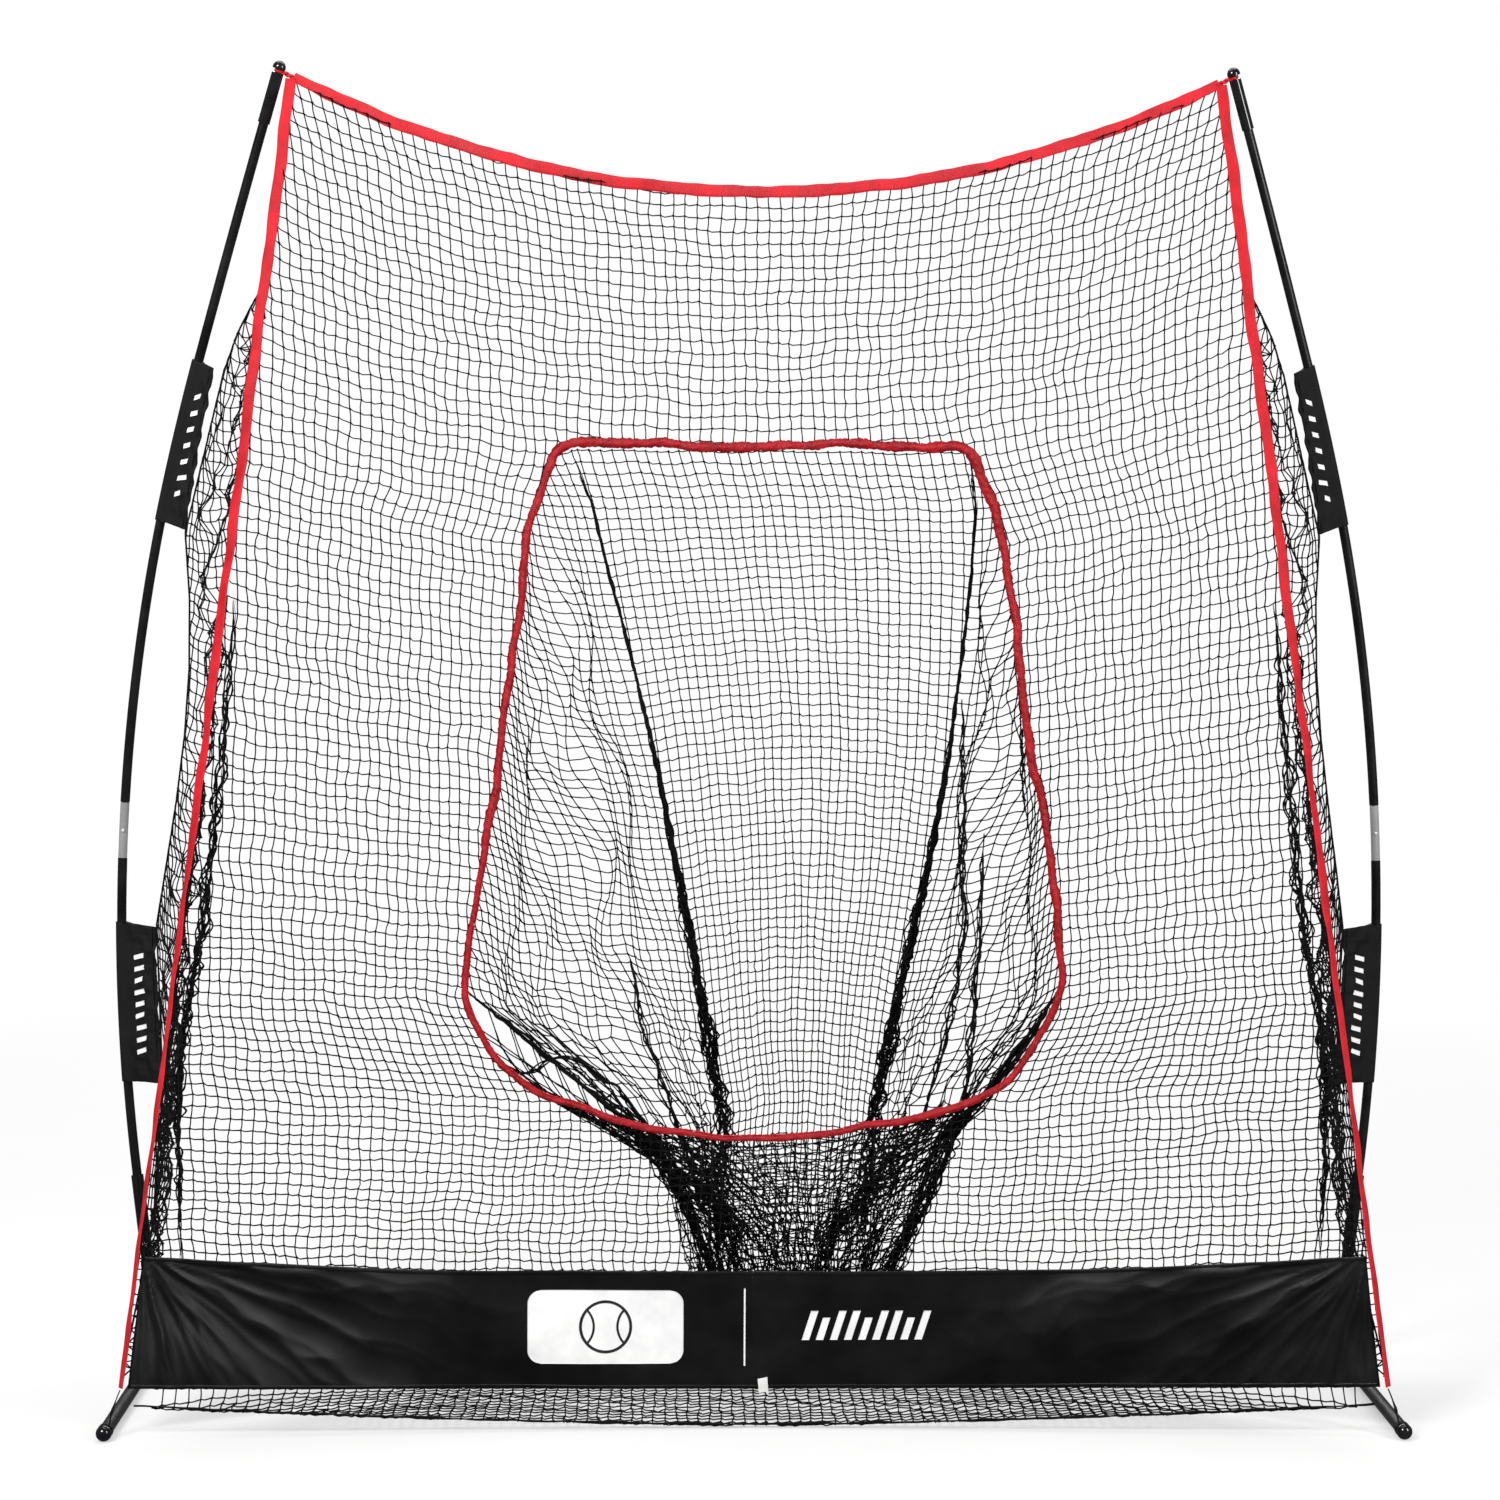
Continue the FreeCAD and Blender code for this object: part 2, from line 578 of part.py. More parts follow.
# netting of the face, clear of the rim by a cloth gap
CLEAR = RIM + GAP
FLAT = size("face_half_flat")
DROP = size("binding_width") / 2 + GAP
top_z = size("mouth_top") + CLEAR
seam_z = size("mouth_jaw") - CLEAR
skirt = size("banner_top") + GAP


def on_face(across, height):
    return Vector(across, FACE, height)


def inner_edge(name, height):
    """Point just inside the side binding at a height."""
    return edge(name, height) + RIGHT * (-SIDES[name] * (DROP + GAP))


opening = Part.Face(rim_path.makeOffset2D(CLEAR)).extrude(BACK * (2 * NET))
opening.translate(FORWARD * NET)


def on_panel(left, right, low, high):
    """Upright rectangle in the flat middle of the face, as netting, less the mouth's opening."""
    corners = [on_face(left, low), on_face(right, low), on_face(right, high), on_face(left, high)]
    return plate(corners, NET, BACK).cut(opening)


arc = Part.Arc(*[on_face(x, top_line(x, DROP)) for x in (-FLAT, 0, FLAT)]).toShape()
sill = [on_face(FLAT, top_z), on_face(-FLAT, top_z)]
arc_ends = [vertex.Point for vertex in arc.Vertexes]
if arc_ends[0].x > 0:
    arc_ends.reverse()
outline = [arc, Part.makeLine(arc_ends[1], sill[0]), Part.makeLine(sill[0], sill[1]),
           Part.makeLine(sill[1], arc_ends[0])]
shaped("net_top", Part.Face(Part.Wire(outline)).extrude(BACK * NET))
for name, side in SIDES.items():
    head = inner_edge(name, net_head(name).z - size("binding_width") * 2)
    shelf = on_face(side * FLAT, skirt)
    crest = on_face(side * FLAT, top_line(FLAT, DROP))
    hip = inner_edge(name, size("banner_end_top") + GAP)
    jamb = on_panel(*sorted((side * FLAT, SHIFT)), seam_z + GAP, top_z - GAP)
    plates = [jamb, plate([crest, head, shelf], NET, BACK),
              plate([shelf, head, hip], NET, BACK)]
    shaped(f"net_{name}", Part.makeCompound(plates))
shaped("net_bottom", on_panel(-FLAT, FLAT, skirt, seam_z))

# banner below the face, and the strip of netting that runs out from it over the floor
floor_top = NET + GAP / 2
ends = []
for name, side in SIDES.items():
    low, high = on_face(side * FLAT, floor_top), on_face(side * FLAT, size("banner_top"))
    hip, toe = inner_edge(name, size("banner_end_top")), inner_edge(name, size("banner_end_foot"))
    ends += [plate([low, high, hip], CLOTH, FORWARD), plate([low, hip, toe], CLOTH, FORWARD)]
middle = plate([on_face(-FLAT, floor_top), on_face(FLAT, floor_top),
                on_face(FLAT, size("banner_top")), on_face(-FLAT, size("banner_top"))],
               CLOTH, FORWARD)
shaped("banner", Part.makeCompound([middle, *ends]))
strip_end = HALF_BASE - size("hem_inset")
hem_line = [Vector(x * strip_end, -size("hem_end") if x else -size("hem_setback"), 0)
            for x in (-1, 0, 1)]
back_line = [Vector(strip_end, -size("hem_end") + size("hem_width"), 0), Vector(FLAT, FACE, 0),
             Vector(-FLAT, FACE, 0), Vector(-strip_end, -size("hem_end") + size("hem_width"), 0)]
shaped("floor_net", plate(hem_line + back_line, NET, UP))
hems = []
for x in (0, 1):
    start, end = hem_line[x] - BACK * GAP, hem_line[x + 1] - BACK * GAP
    hems.append(plate([start, end, end - BACK * size("hem_width"),
                       start - BACK * size("hem_width")], CLOTH, UP))
shaped("bottom_hem", Part.makeCompound(hems))
label_place = Vector(size("label_width") / 2, FACE - CLOTH * 2 - size("label_length"), floor_top)
node("care_label", block("Sizes.label_width", "Sizes.label_length", "Sizes.label_thickness",
                         Placement(label_place, Rotation())))

# sack behind the mouth, from flat panels thickened away from its hollow
sack_plane = FACE + NET / 2 + CLEAR + NET
sack_rear = FACE + size("sack_back")
sack_nose = FACE + size("sack_front")
FLOOR = size("sack_floor")
front_edge, back_foot, front_foot = {}, {}, {}
for name, side in SIDES.items():
    floor_x = SHIFT + size("sack_swing") + side * size("sack_floor_half")
    front_edge[name] = [mouth_corner(key, side, sack_plane) for key in DOWN_SIDE]
    back_foot[name] = Vector(floor_x, sack_rear, FLOOR)
    front_foot[name] = Vector(floor_x, sack_nose, FLOOR)
chin = Vector(SHIFT, sack_plane, size("mouth_bottom"))
shaped("sack_back", plate([front_edge["left"][0], front_edge["right"][0], back_foot["right"],
                           back_foot["left"]], NET, BACK))
for name, side in SIDES.items():
    line = [*front_edge[name], front_foot[name]]
    plates = [plate([upper_end, lower_end, back_foot[name]], NET, RIGHT * side)
              for upper_end, lower_end in zip(line, line[1:])]
    shaped(f"sack_{name}", Part.makeCompound(plates))
plates = [plate([front_edge[name][-1], chin, front_foot[name]], NET, FORWARD) for name in SIDES]
plates.append(plate([chin, front_foot["left"], front_foot["right"]], NET, FORWARD))
shaped("sack_front", Part.makeCompound(plates))
shaped("sack_floor", plate([front_foot["left"], front_foot["right"], back_foot["right"],
                            back_foot["left"]], NET, UP * -1))

# sleeves round the poles, each with a flat flap that the side netting is sewn to
SLEEVES = {"lower": ("low", size("sleeve_low_start")), "upper": ("top", size("sleeve_top_start"))}
flap_edge = {}
for name, side in SIDES.items():
    bow = bows[name]
    turn = math.radians(size("sleeve_turn"))
    reach = Vector(-side * math.cos(turn), -math.sin(turn), 0)
    for part, (key, start) in SLEEVES.items():
        width = size(f"sleeve_{key}_width")
        end = start + size(f"sleeve_{key}_length")
        low_point, high_point = bow.frame(start)[0], bow.frame(end)[0]
        flap = doc.addObject("Part::Box", "flap")
        bind(flap, Length=f"Sizes.sleeve_{key}_width", Width="Sizes.cloth_thickness")
        flap.Height = (high_point - low_point).Length
        place = frame_along(low_point, high_point, reach)
        flap.Placement = place * Placement(Vector(0, -CLOTH / 2, 0), Rotation())
        wall = "Sizes.pole_dia / 2 + Sizes.sleeve_gap"
        node(f"sleeve_{part}_{name}",
             cut(fuse(bow.rod(f"{wall} + Sizes.sleeve_wall", start, end), flap),
                 bow.rod(wall, start - CLOTH, end + CLOTH)))
        across = place.Rotation.multVec(RIGHT)
        flap_edge[name, part] = [point + across * (width + GAP * 2)
                                 for point in (low_point, high_point)]

# side netting from the face's edge back to the sleeves, its free edge drawn in between them
for name, side in SIDES.items():
    behind = BACK * (CLOTH + GAP)
    low_foot, low_head = flap_edge[name, "lower"]
    top_foot, top_head = flap_edge[name, "upper"]
    crest, heel = edge(name, size("wing_top")) + behind, edge(name, size("wing_foot")) + behind
    waist = edge(name, (low_head.z + top_foot.z) / 2) + behind
    pull = between(waist, between(low_head, top_foot, 0.5), size("wing_pull"))
    rim = [crest, top_foot, pull, low_head, low_foot, heel]
    plates = [plate([crest, top_head, top_foot], NET, RIGHT * side)]
    plates += [plate([waist, rim[i], rim[i + 1]], NET, RIGHT * side) for i in range(5)]
    shaped(f"wing_{name}", Part.makeCompound(plates))

# loops at the caps and straps at the feet that hold the net's four corners
for name, side in SIDES.items():
    middle, tip_axis = neck(name), bows[name].frame(POLE_END)[1]
    base = middle - tip_axis * (size("cap_neck_length") / 4)
    wall = "Sizes.cap_neck_dia / 2 + Sizes.sleeve_gap"
    height = "Sizes.cap_neck_length / 2"
    towards = (net_head(name) - middle).normalize()
    ring_reach = size("cap_neck_dia") / 2 + size("sleeve_gap") + size("strap_thickness")
    tail = doc.addObject("Part::Cylinder", "tail")
    bind(tail, Radius="Sizes.strap_thickness")
    tail.Height = (net_head(name) - middle).Length - ring_reach + OVER
    tail.Placement = at(middle + towards * (ring_reach - OVER), towards)
    ring = cut(rod(f"{wall} + Sizes.strap_thickness", height, at(base, tip_axis)),
               rod(wall, height, at(base, tip_axis)))
    node(f"corner_loop_{name}", fuse(ring, tail))
    leg_axis = Vector(side * HALF_BASE, 0, AXIS)
    ring_end = size("leg_length") - size("ball_dia") * 0.5 - GAP
    ring_start = leg_axis - BACK * (ring_end - size("strap_width"))
    ring = cut(rod("Sizes.bar_dia / 2 + Sizes.sleeve_gap + Sizes.strap_thickness",
                   "Sizes.strap_width", at(ring_start, FORWARD)),
               rod("Sizes.bar_dia / 2 + Sizes.sleeve_gap", "Sizes.strap_width",
                   at(ring_start, FORWARD)))
    radius = size("bar_dia") / 2 + size("sleeve_gap") + size("strap_thickness") * 0.9
    turn = math.radians(size("strap_root_turn"))
    root = leg_axis - BACK * (ring_end - size("strap_width") / 2)
    root += (UP * math.sin(turn) + RIGHT * (-side * math.cos(turn))) * radius
    riser = strip("", root, net_foot(name), "Sizes.strap_width", "Sizes.strap_thickness", BACK)
    node(f"foot_strap_{name}", fuse(ring, riser))

# ---- check and write ----

doc.recompute()
for thing in doc.Objects:
    if "Invalid" in thing.State or "Error" in thing.State:
        raise RuntimeError(f"{thing.Label} did not compute: {thing.State}")
for thing in nodes:
    shape = thing.Shape
    if shape.isNull() or not shape.isValid() or not shape.Solids:
        raise RuntimeError(f"{thing.Label} has no valid solid")
    shape.exportStep(f"parts/{thing.Label}.step")
print(len(nodes), "sub-parts")
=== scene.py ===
"""Looks of a pitching target net: a bowed-pole frame, a net hung from it and a sack behind the mouth.

All lengths are metres. +X is to the right seen from the front, +Y runs back, +Z is up.
"""

import math

import bpy
import numpy as np
from mathutils import Matrix, Vector


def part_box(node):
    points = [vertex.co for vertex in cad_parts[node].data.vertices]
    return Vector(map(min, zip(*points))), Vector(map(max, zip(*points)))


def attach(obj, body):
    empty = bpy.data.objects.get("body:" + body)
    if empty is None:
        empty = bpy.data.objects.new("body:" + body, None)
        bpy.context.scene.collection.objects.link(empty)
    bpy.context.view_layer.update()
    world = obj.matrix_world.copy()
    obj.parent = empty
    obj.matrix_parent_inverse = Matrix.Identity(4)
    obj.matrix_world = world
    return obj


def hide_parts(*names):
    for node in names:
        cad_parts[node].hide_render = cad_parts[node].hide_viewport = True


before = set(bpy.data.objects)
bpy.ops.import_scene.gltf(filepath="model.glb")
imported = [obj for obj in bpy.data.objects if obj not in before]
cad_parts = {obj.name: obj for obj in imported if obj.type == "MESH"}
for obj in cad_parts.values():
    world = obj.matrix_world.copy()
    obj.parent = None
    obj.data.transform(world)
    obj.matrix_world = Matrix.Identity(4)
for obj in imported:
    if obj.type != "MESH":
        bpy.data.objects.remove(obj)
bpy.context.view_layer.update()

SIDES = {"left": -1.0, "right": 1.0}
X, Y, Z = np.eye(3)

# ---- small helpers ----


def unit(v):
    """Vectors divided by their own lengths."""
    return v / np.maximum(np.linalg.norm(v, axis=-1, keepdims=True), 1e-9)


def smooth(t):
    """3t^2 - 2t^3, with t held between 0 and 1."""
    t = np.clip(t, 0, 1)
    return t * t * (3 - 2 * t)


def mix(a, b, t):
    """a where t is 0, b where t is 1, and straight between them."""
    return a + (b - a) * t


def ripple(seed, s, t=0.0, waves=6, low=1.0, high=8.0):
    """Sum of sine waves over (s, t), of random heading, pitch and phase, about -1 to 1."""
    rng = np.random.default_rng(seed)
    total = 0.0
    for pitch, heading, phase in rng.uniform((low, 0, 0), (high, 2 * np.pi, 2 * np.pi), (waves, 3)):
        total = total + np.sin(pitch * (np.cos(heading) * s + np.sin(heading) * t) + phase)
    return total / math.sqrt(waves)


# ---- meshes ----


def grid_faces(rows, columns, loop=False, wrap=False):
    """Quads between neighbouring places of a grid, and each corner's (row, column) before it wraps."""
    r, c = np.meshgrid(np.arange(rows - (not loop)), np.arange(columns - (not wrap)), indexing="ij")
    r, c = r.ravel(), c.ravel()
    corners = ((r, c), (r + 1, c), (r + 1, c + 1), (r, c + 1))
    faces = np.stack([(a % rows) * columns + b % columns for a, b in corners], 1)
    return faces, np.stack([np.stack(corner, -1) for corner in corners], 1)


def outward(points, faces):
    """Faces turned so that the closed shape's signed volume is positive."""
    volume = 0.0
    for face in faces:
        for k in range(1, face.shape[1] - 1):
            a, b, c = points[face[:, 0]], points[face[:, k]], points[face[:, k + 1]]
            volume += np.einsum("ij,ij->", a, np.cross(b, c))
    return volume > 0


def solid(points, faces, uvs):
    """A closed shape as (points, faces, uvs), its faces outwards."""
    if not outward(points - points.mean(0), faces):
        faces, uvs = [face[:, ::-1] for face in faces], [uv[:, ::-1] for uv in uvs]
    return points, faces, uvs


def sweep(path, profile, across, loop=False):
    """A closed profile carried along a path.

    Ring i is path[i] + up * profile[..., 0] + side * profile[..., 1], where up is the part of
    across that is square to the path, and side is square to both. Open ends get a fan.
    """
    rows = len(path)
    if loop:
        tangent = unit(np.roll(path, -1, 0) - np.roll(path, 1, 0))
    else:
        tangent = unit(np.gradient(path, axis=0))
    across = np.broadcast_to(across, path.shape)
    up = unit(across - tangent * np.sum(across * tangent, -1, keepdims=True))
    side = np.cross(tangent, up)
    profile = np.broadcast_to(profile, (rows,) + np.shape(profile)[-2:])
    points = (path[:, None] + up[:, None] * profile[..., :1] + side[:, None] * profile[..., 1:])
    count = profile.shape[1]
    steps = np.linalg.norm(np.diff(np.concatenate([path, path[:1]]), axis=0), axis=1)
    along = np.concatenate([[0], np.cumsum(steps)])
    around = np.concatenate([[0], np.cumsum(np.linalg.norm(
        np.diff(np.concatenate([profile[0], profile[0][:1]]), axis=0), axis=1))])
    quads, places = grid_faces(rows, count, loop, True)
    uv = np.stack([along[places[..., 0]], around[places[..., 1]]], -1)
    points = points.reshape(-1, 3)
    if loop:
        return solid(points, [quads], [uv])
    middle = np.stack([points[:count].mean(0), points[-count:].mean(0)])
    ring = np.arange(count)
    first = np.stack([ring, np.full(count, rows * count), (ring + 1) % count], 1)
    last = np.stack([ring + (rows - 1) * count, (ring + 1) % count + (rows - 1) * count,
                     np.full(count, rows * count + 1)], 1)
    fans = np.concatenate([first[:, ::-1], last[:, ::-1]])
    fan_uv = np.zeros(fans.shape + (2,))
    points = np.concatenate([points, middle])
    # the fans join the tube the same way round as its quads
    return solid(points, [quads, fans[:, ::-1]], [uv, fan_uv])


def sheet_of(front, thickness, uv_size):
    """A grid of points given a thickness: front and back are half of it along the grid's normal."""
    rows, columns = front.shape[:2]
    normal = unit(np.cross(np.gradient(front, axis=0), np.gradient(front, axis=1)))
    points = np.concatenate([(front + normal * thickness / 2).reshape(-1, 3),
                             (front - normal * thickness / 2).reshape(-1, 3)])
    quads, places = grid_faces(rows, columns)
    uv = places / (np.array([rows, columns]) - 1.0) * np.array(uv_size)
    size = rows * columns
    index = np.arange(size).reshape(rows, columns)
    rim = np.concatenate([index[0], index[1:, -1], index[-1, -2::-1], index[-2:0:-1, 0]])
    after = np.roll(rim, -1)
    wall = np.stack([rim, after, after + size, rim + size], 1)
    flat = (np.stack([rim // columns, rim % columns], -1)
            / (np.array([rows, columns]) - 1.0) * np.array(uv_size))
    ahead = np.roll(flat, -1, 0)
    wall_uv = np.stack([flat, ahead, ahead, flat], 1)
    return solid(points, [quads, quads[:, ::-1] + size, wall[:, ::-1]],
                 [uv, uv[:, ::-1], wall_uv[:, ::-1]])


def merged(shapes):
    """Several shapes as one list of points, faces and uvs."""
    points, faces, uvs, start = [], [], [], 0
    for shape_points, shape_faces, shape_uvs in shapes:
        points.append(shape_points)
        faces += [face + start for face in shape_faces]
        uvs += shape_uvs
        start += len(shape_points)
    return np.concatenate(points), faces, uvs


def piece(name, shapes, material, stands_for=(), smooth_shade=True, body="frame"):
    """Puts shapes into one mesh object, which rides on a body and stands for CAD nodes."""
    points, faces, uvs = merged(shapes)
    mesh = bpy.data.meshes.new(name)
    mesh.vertices.add(len(points))
    mesh.vertices.foreach_set("co", np.ascontiguousarray(points, np.float32).ravel())
    loops = np.concatenate([face.ravel() for face in faces]).astype(np.int32)
    sizes = np.concatenate([np.full(len(face), face.shape[1]) for face in faces])
    starts = np.concatenate([[0], np.cumsum(sizes)[:-1]]).astype(np.int32)
    mesh.loops.add(len(loops))
    mesh.loops.foreach_set("vertex_index", loops)
    mesh.polygons.add(len(sizes))
    mesh.polygons.foreach_set("loop_start", starts)
    mesh.update(calc_edges=True)
    mesh.validate()
    layer = mesh.uv_layers.new(name="UVMap")
    flat = np.concatenate([uv.reshape(-1, 2) for uv in uvs]).astype(np.float32)
    if len(flat) == len(layer.data):
        layer.data.foreach_set("uv", flat.ravel())
    mesh.polygons.foreach_set("use_smooth", np.full(len(mesh.polygons), smooth_shade))
    mesh.materials.append(material)
    made = bpy.data.objects.new(name, mesh)
    bpy.context.scene.collection.objects.link(made)
    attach(made, body)
    if stands_for:
        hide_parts(*stands_for)
    return made


def flat_profile(width, thickness, count=20):
    """Cross-section of a tape: a circle's cosine and sine, each drawn out towards a rounded box."""
    turn = np.linspace(0, 2 * np.pi, count, endpoint=False)
    c, s = np.cos(turn), np.sin(turn)
    return np.stack([np.sign(c) * np.abs(c) ** 0.55 * width / 2,
                     np.sign(s) * np.abs(s) ** 0.75 * thickness / 2], -1)


def turned(profile, angle):
    """A profile turned about its own middle by an angle for each ring."""
    c, s = np.cos(angle)[:, None], np.sin(angle)[:, None]
    a, b = profile[..., 0], profile[..., 1]
    return np.stack([a * c - b * s, a * s + b * c], -1)


def round_profile(radius, count=8):
    """Circle of a radius."""
    turn = np.linspace(0, 2 * np.pi, count, endpoint=False)
    return np.stack([np.cos(turn), np.sin(turn)], -1) * radius


# ---- materials ----


class Tree:
    """Adds nodes to a node tree and links them by socket name or number."""

    def __init__(self, tree):
        self.tree = tree

    def add(self, kind, inputs=None, **settings):
        made = self.tree.nodes.new(kind)
        for key, value in settings.items():
            setattr(made, key, value)
        for key, value in (inputs or {}).items():
            if isinstance(value, bpy.types.NodeSocket):
                self.tree.links.new(value, made.inputs[key])
            else:
                made.inputs[key].default_value = value
        return made

    def math(self, operation, a, b=0.0, clamp=False):
        return self.add("ShaderNodeMath", {0: a, 1: b}, operation=operation,
                        use_clamp=clamp).outputs[0]

    def tint(self, amount, dark, light):
        node = self.add("ShaderNodeMix", {0: amount, 6: (*dark, 1), 7: (*light, 1)},
                        data_type="RGBA")
        return node.outputs[2]

    def span(self, value, low, high, start=0.0, end=1.0):
        return self.add("ShaderNodeMapRange", {0: value, 1: start, 2: end, 3: low, 4: high}
                        ).outputs[0]


def effect(name, inputs, outputs, make):
    """A shared node group: inputs are {name: default}, outputs names, make fills it in."""
    group = bpy.data.node_groups.new(name, "ShaderNodeTree")
    for key, value in inputs.items():
        kind = "NodeSocketVector" if value is None else "NodeSocketFloat"
        socket = group.interface.new_socket(key, in_out="INPUT", socket_type=kind)
        if value is not None:
            socket.default_value = value
    for key in outputs:
        group.interface.new_socket(key, in_out="OUTPUT", socket_type="NodeSocketFloat")
    tree = Tree(group)
    source, sink = tree.add("NodeGroupInput"), tree.add("NodeGroupOutput")
    for key, socket in make(tree, source.outputs).items():
        group.links.new(socket, sink.inputs[key])
    return group


def make_weave(tree, given):
    """Threads over and under: the product of a sine across and a sine along, with slubs."""
    place = tree.add("ShaderNodeSeparateXYZ", {0: given["Place"]}).outputs
    beat = tree.math("MULTIPLY", given["Threads per metre"], math.pi)
    across = tree.math("SINE", tree.math("MULTIPLY", place[0], beat))
    along = tree.math("SINE", tree.math("MULTIPLY", place[1], beat))
    height = tree.math("ABSOLUTE", tree.math("MULTIPLY", across, along))
    slub = tree.add("ShaderNodeTexNoise", {"Vector": given["Place"], "Scale": 160.0,
                                           "Detail": 2.0}).outputs[0]
    return {"Height": height, "Shade": tree.math("MULTIPLY", height, slub)}


def make_clouds(tree, given):
    """Soft patches and fine grain: two noises of different scale."""
    big = tree.add("ShaderNodeTexNoise", {"Vector": given["Place"], "Scale": given["Patches"],
                                          "Detail": 4.0, "Roughness": 0.6}).outputs[0]
    fine = tree.add("ShaderNodeTexNoise", {"Vector": given["Place"], "Scale": given["Grain"],
                                           "Detail": 3.0, "Roughness": 0.7}).outputs[0]
    return {"Patch": tree.span(big, 0, 1, 0.35, 0.68), "Speck": fine}


def make_brushed(tree, given):
    """Fine lines round a tube: noise squeezed along its axis."""
    drawn = tree.add("ShaderNodeMapping", {"Vector": given["Place"], "Scale": (35, 35, 900)})
    lines = tree.add("ShaderNodeTexNoise", {"Vector": drawn.outputs[0], "Scale": 1.0,
                                            "Detail": 4.0}).outputs[0]
    return {"Lines": lines}


def make_rib(tree, given):
    """Ribs across a tape: a sine along it, from the tape's own UV map."""
    place = tree.add("ShaderNodeSeparateXYZ", {0: given["Place"]}).outputs
    ribs = tree.math("SINE", tree.math("MULTIPLY", place[0], given["Ribs per metre"]))
    return {"Ribs": tree.span(ribs, 0, 1, -1, 1)}


WEAVE = effect("Cloth weave", {"Place": None, "Threads per metre": 1500.0},
               ("Height", "Shade"), make_weave)
CLOUDS = effect("Patches and grain", {"Place": None, "Patches": 6.0, "Grain": 300.0},
                ("Patch", "Speck"), make_clouds)
BRUSHED = effect("Brushed lines", {"Place": None}, ("Lines",), make_brushed)
RIB = effect("Tape ribs", {"Place": None, "Ribs per metre": 5000.0}, ("Ribs",), make_rib)


def material(name, dark, light, rough, patches=6.0, grain=300.0, bump=0.1, depth=0.0002,
             pattern=None, on_uv=False, threads=1500.0, **fixed):
    """A finish whose colour and roughness drift between two values, with a fine relief."""
    made = bpy.data.materials.new(name)
    made.use_nodes = True
    tree = Tree(made.node_tree)
    shader = made.node_tree.nodes["Principled BSDF"]
    coords = tree.add("ShaderNodeTexCoord").outputs
    place = coords["UV"] if on_uv else coords["Object"]
    link = made.node_tree.links.new

    node = tree.add("ShaderNodeGroup", node_tree=CLOUDS)
    link(coords["Object"], node.inputs["Place"])
    node.inputs["Patches"].default_value = patches
    node.inputs["Grain"].default_value = grain
    patch, speck = node.outputs["Patch"], node.outputs["Speck"]
    height, shade = speck, patch
    if pattern is WEAVE:
        weave = tree.add("ShaderNodeGroup", node_tree=WEAVE)
        link(place, weave.inputs["Place"])
        weave.inputs["Threads per metre"].default_value = threads
        height = tree.math("ADD", weave.outputs["Height"], tree.math("MULTIPLY", speck, 0.35))
        shade = tree.math("MULTIPLY_ADD", weave.outputs["Shade"], 0.6)
        link(tree.math("MULTIPLY", patch, 0.6), shade.node.inputs[2])
    elif pattern is RIB:
        ribs = tree.add("ShaderNodeGroup", node_tree=RIB)
        link(place, ribs.inputs["Place"])
        ribs.inputs["Ribs per metre"].default_value = threads
        height = tree.math("ADD", ribs.outputs["Ribs"], tree.math("MULTIPLY", speck, 0.5))
        shade = tree.math("MULTIPLY_ADD", ribs.outputs["Ribs"], 0.35)
        link(tree.math("MULTIPLY", patch, 0.65), shade.node.inputs[2])
    elif pattern is BRUSHED:
        brushed = tree.add("ShaderNodeGroup", node_tree=BRUSHED)
        link(place, brushed.inputs["Place"])
        height = brushed.outputs["Lines"]
        shade = tree.math("MULTIPLY_ADD", height, 0.7)
        link(tree.math("MULTIPLY", patch, 0.3), shade.node.inputs[2])
    link(tree.tint(shade, dark, light), shader.inputs["Base Color"])
    mottle = tree.math("ADD", tree.math("MULTIPLY", patch, 0.6), tree.math("MULTIPLY", speck, 0.4))
    link(tree.span(mottle, *rough), shader.inputs["Roughness"])
    relief = tree.add("ShaderNodeBump", {"Height": height, "Strength": bump, "Distance": depth})
    link(relief.outputs[0], shader.inputs["Normal"])
    for key, value in fixed.items():
        shader.inputs[key.replace("_", " ")].default_value = value
    return made


powder_coat = material("Black powder coat", (.003, .003, .0035), (.008, .008, .009), (.16, .34),
                       patches=9, grain=900, bump=.25, depth=.00012, Coat_Weight=.35,
                       Coat_Roughness=.12)
pole_wrap = material("Black vinyl wrap on poles", (.003, .003, .0035), (.009, .009, .010),
                     (.22, .42), patches=14, grain=260, bump=.35, depth=.0004)
ferrule_steel = material("Bare steel of ferrules", (.26, .26, .27), (.46, .46, .47), (.24, .42),
                         patches=20, pattern=BRUSHED, bump=.18, depth=.0001, Metallic=.3)
zinc_plate = material("Zinc plate", (.42, .43, .45), (.68, .69, .71), (.28, .5), patches=60,
                      grain=700, bump=.2, depth=.0001, Metallic=.4)
button_plate = material("Nickel of buttons", (.62, .61, .58), (.85, .84, .8), (.1, .24),
                        patches=90, grain=900, bump=.08, depth=.0001, Metallic=.4)
gloss_plastic = material("Gloss black plastic", (.004, .004, .005), (.011, .011, .012),
                         (.08, .2), patches=25, grain=500, bump=.06, depth=.0001,
                         Coat_Weight=.5, Coat_Roughness=.05)
pad_rubber = material("Rubber pad", (.012, .012, .012), (.035, .034, .033), (.55, .8),
                      patches=30, grain=800, bump=.5, depth=.0003)
net_twine = material("Black net twine", (.001, .001, .0012), (.006, .006, .007), (.6, .85),
                     patches=5, grain=1600, bump=.5, depth=.0004, Specular_IOR_Level=.18)
sack_twine = material("Black sack twine", (.001, .001, .0012), (.005, .005, .006), (.6, .85),
                      patches=5, grain=1600, bump=.5, depth=.0004, Specular_IOR_Level=.16)
red_tape = material("Red woven tape", (.36, .002, .008), (.68, .008, .02), (.42, .62),
                    patches=22, grain=900, bump=.55, depth=.0005, pattern=RIB, on_uv=True,
                    threads=4200.0, Specular_IOR_Level=.3)
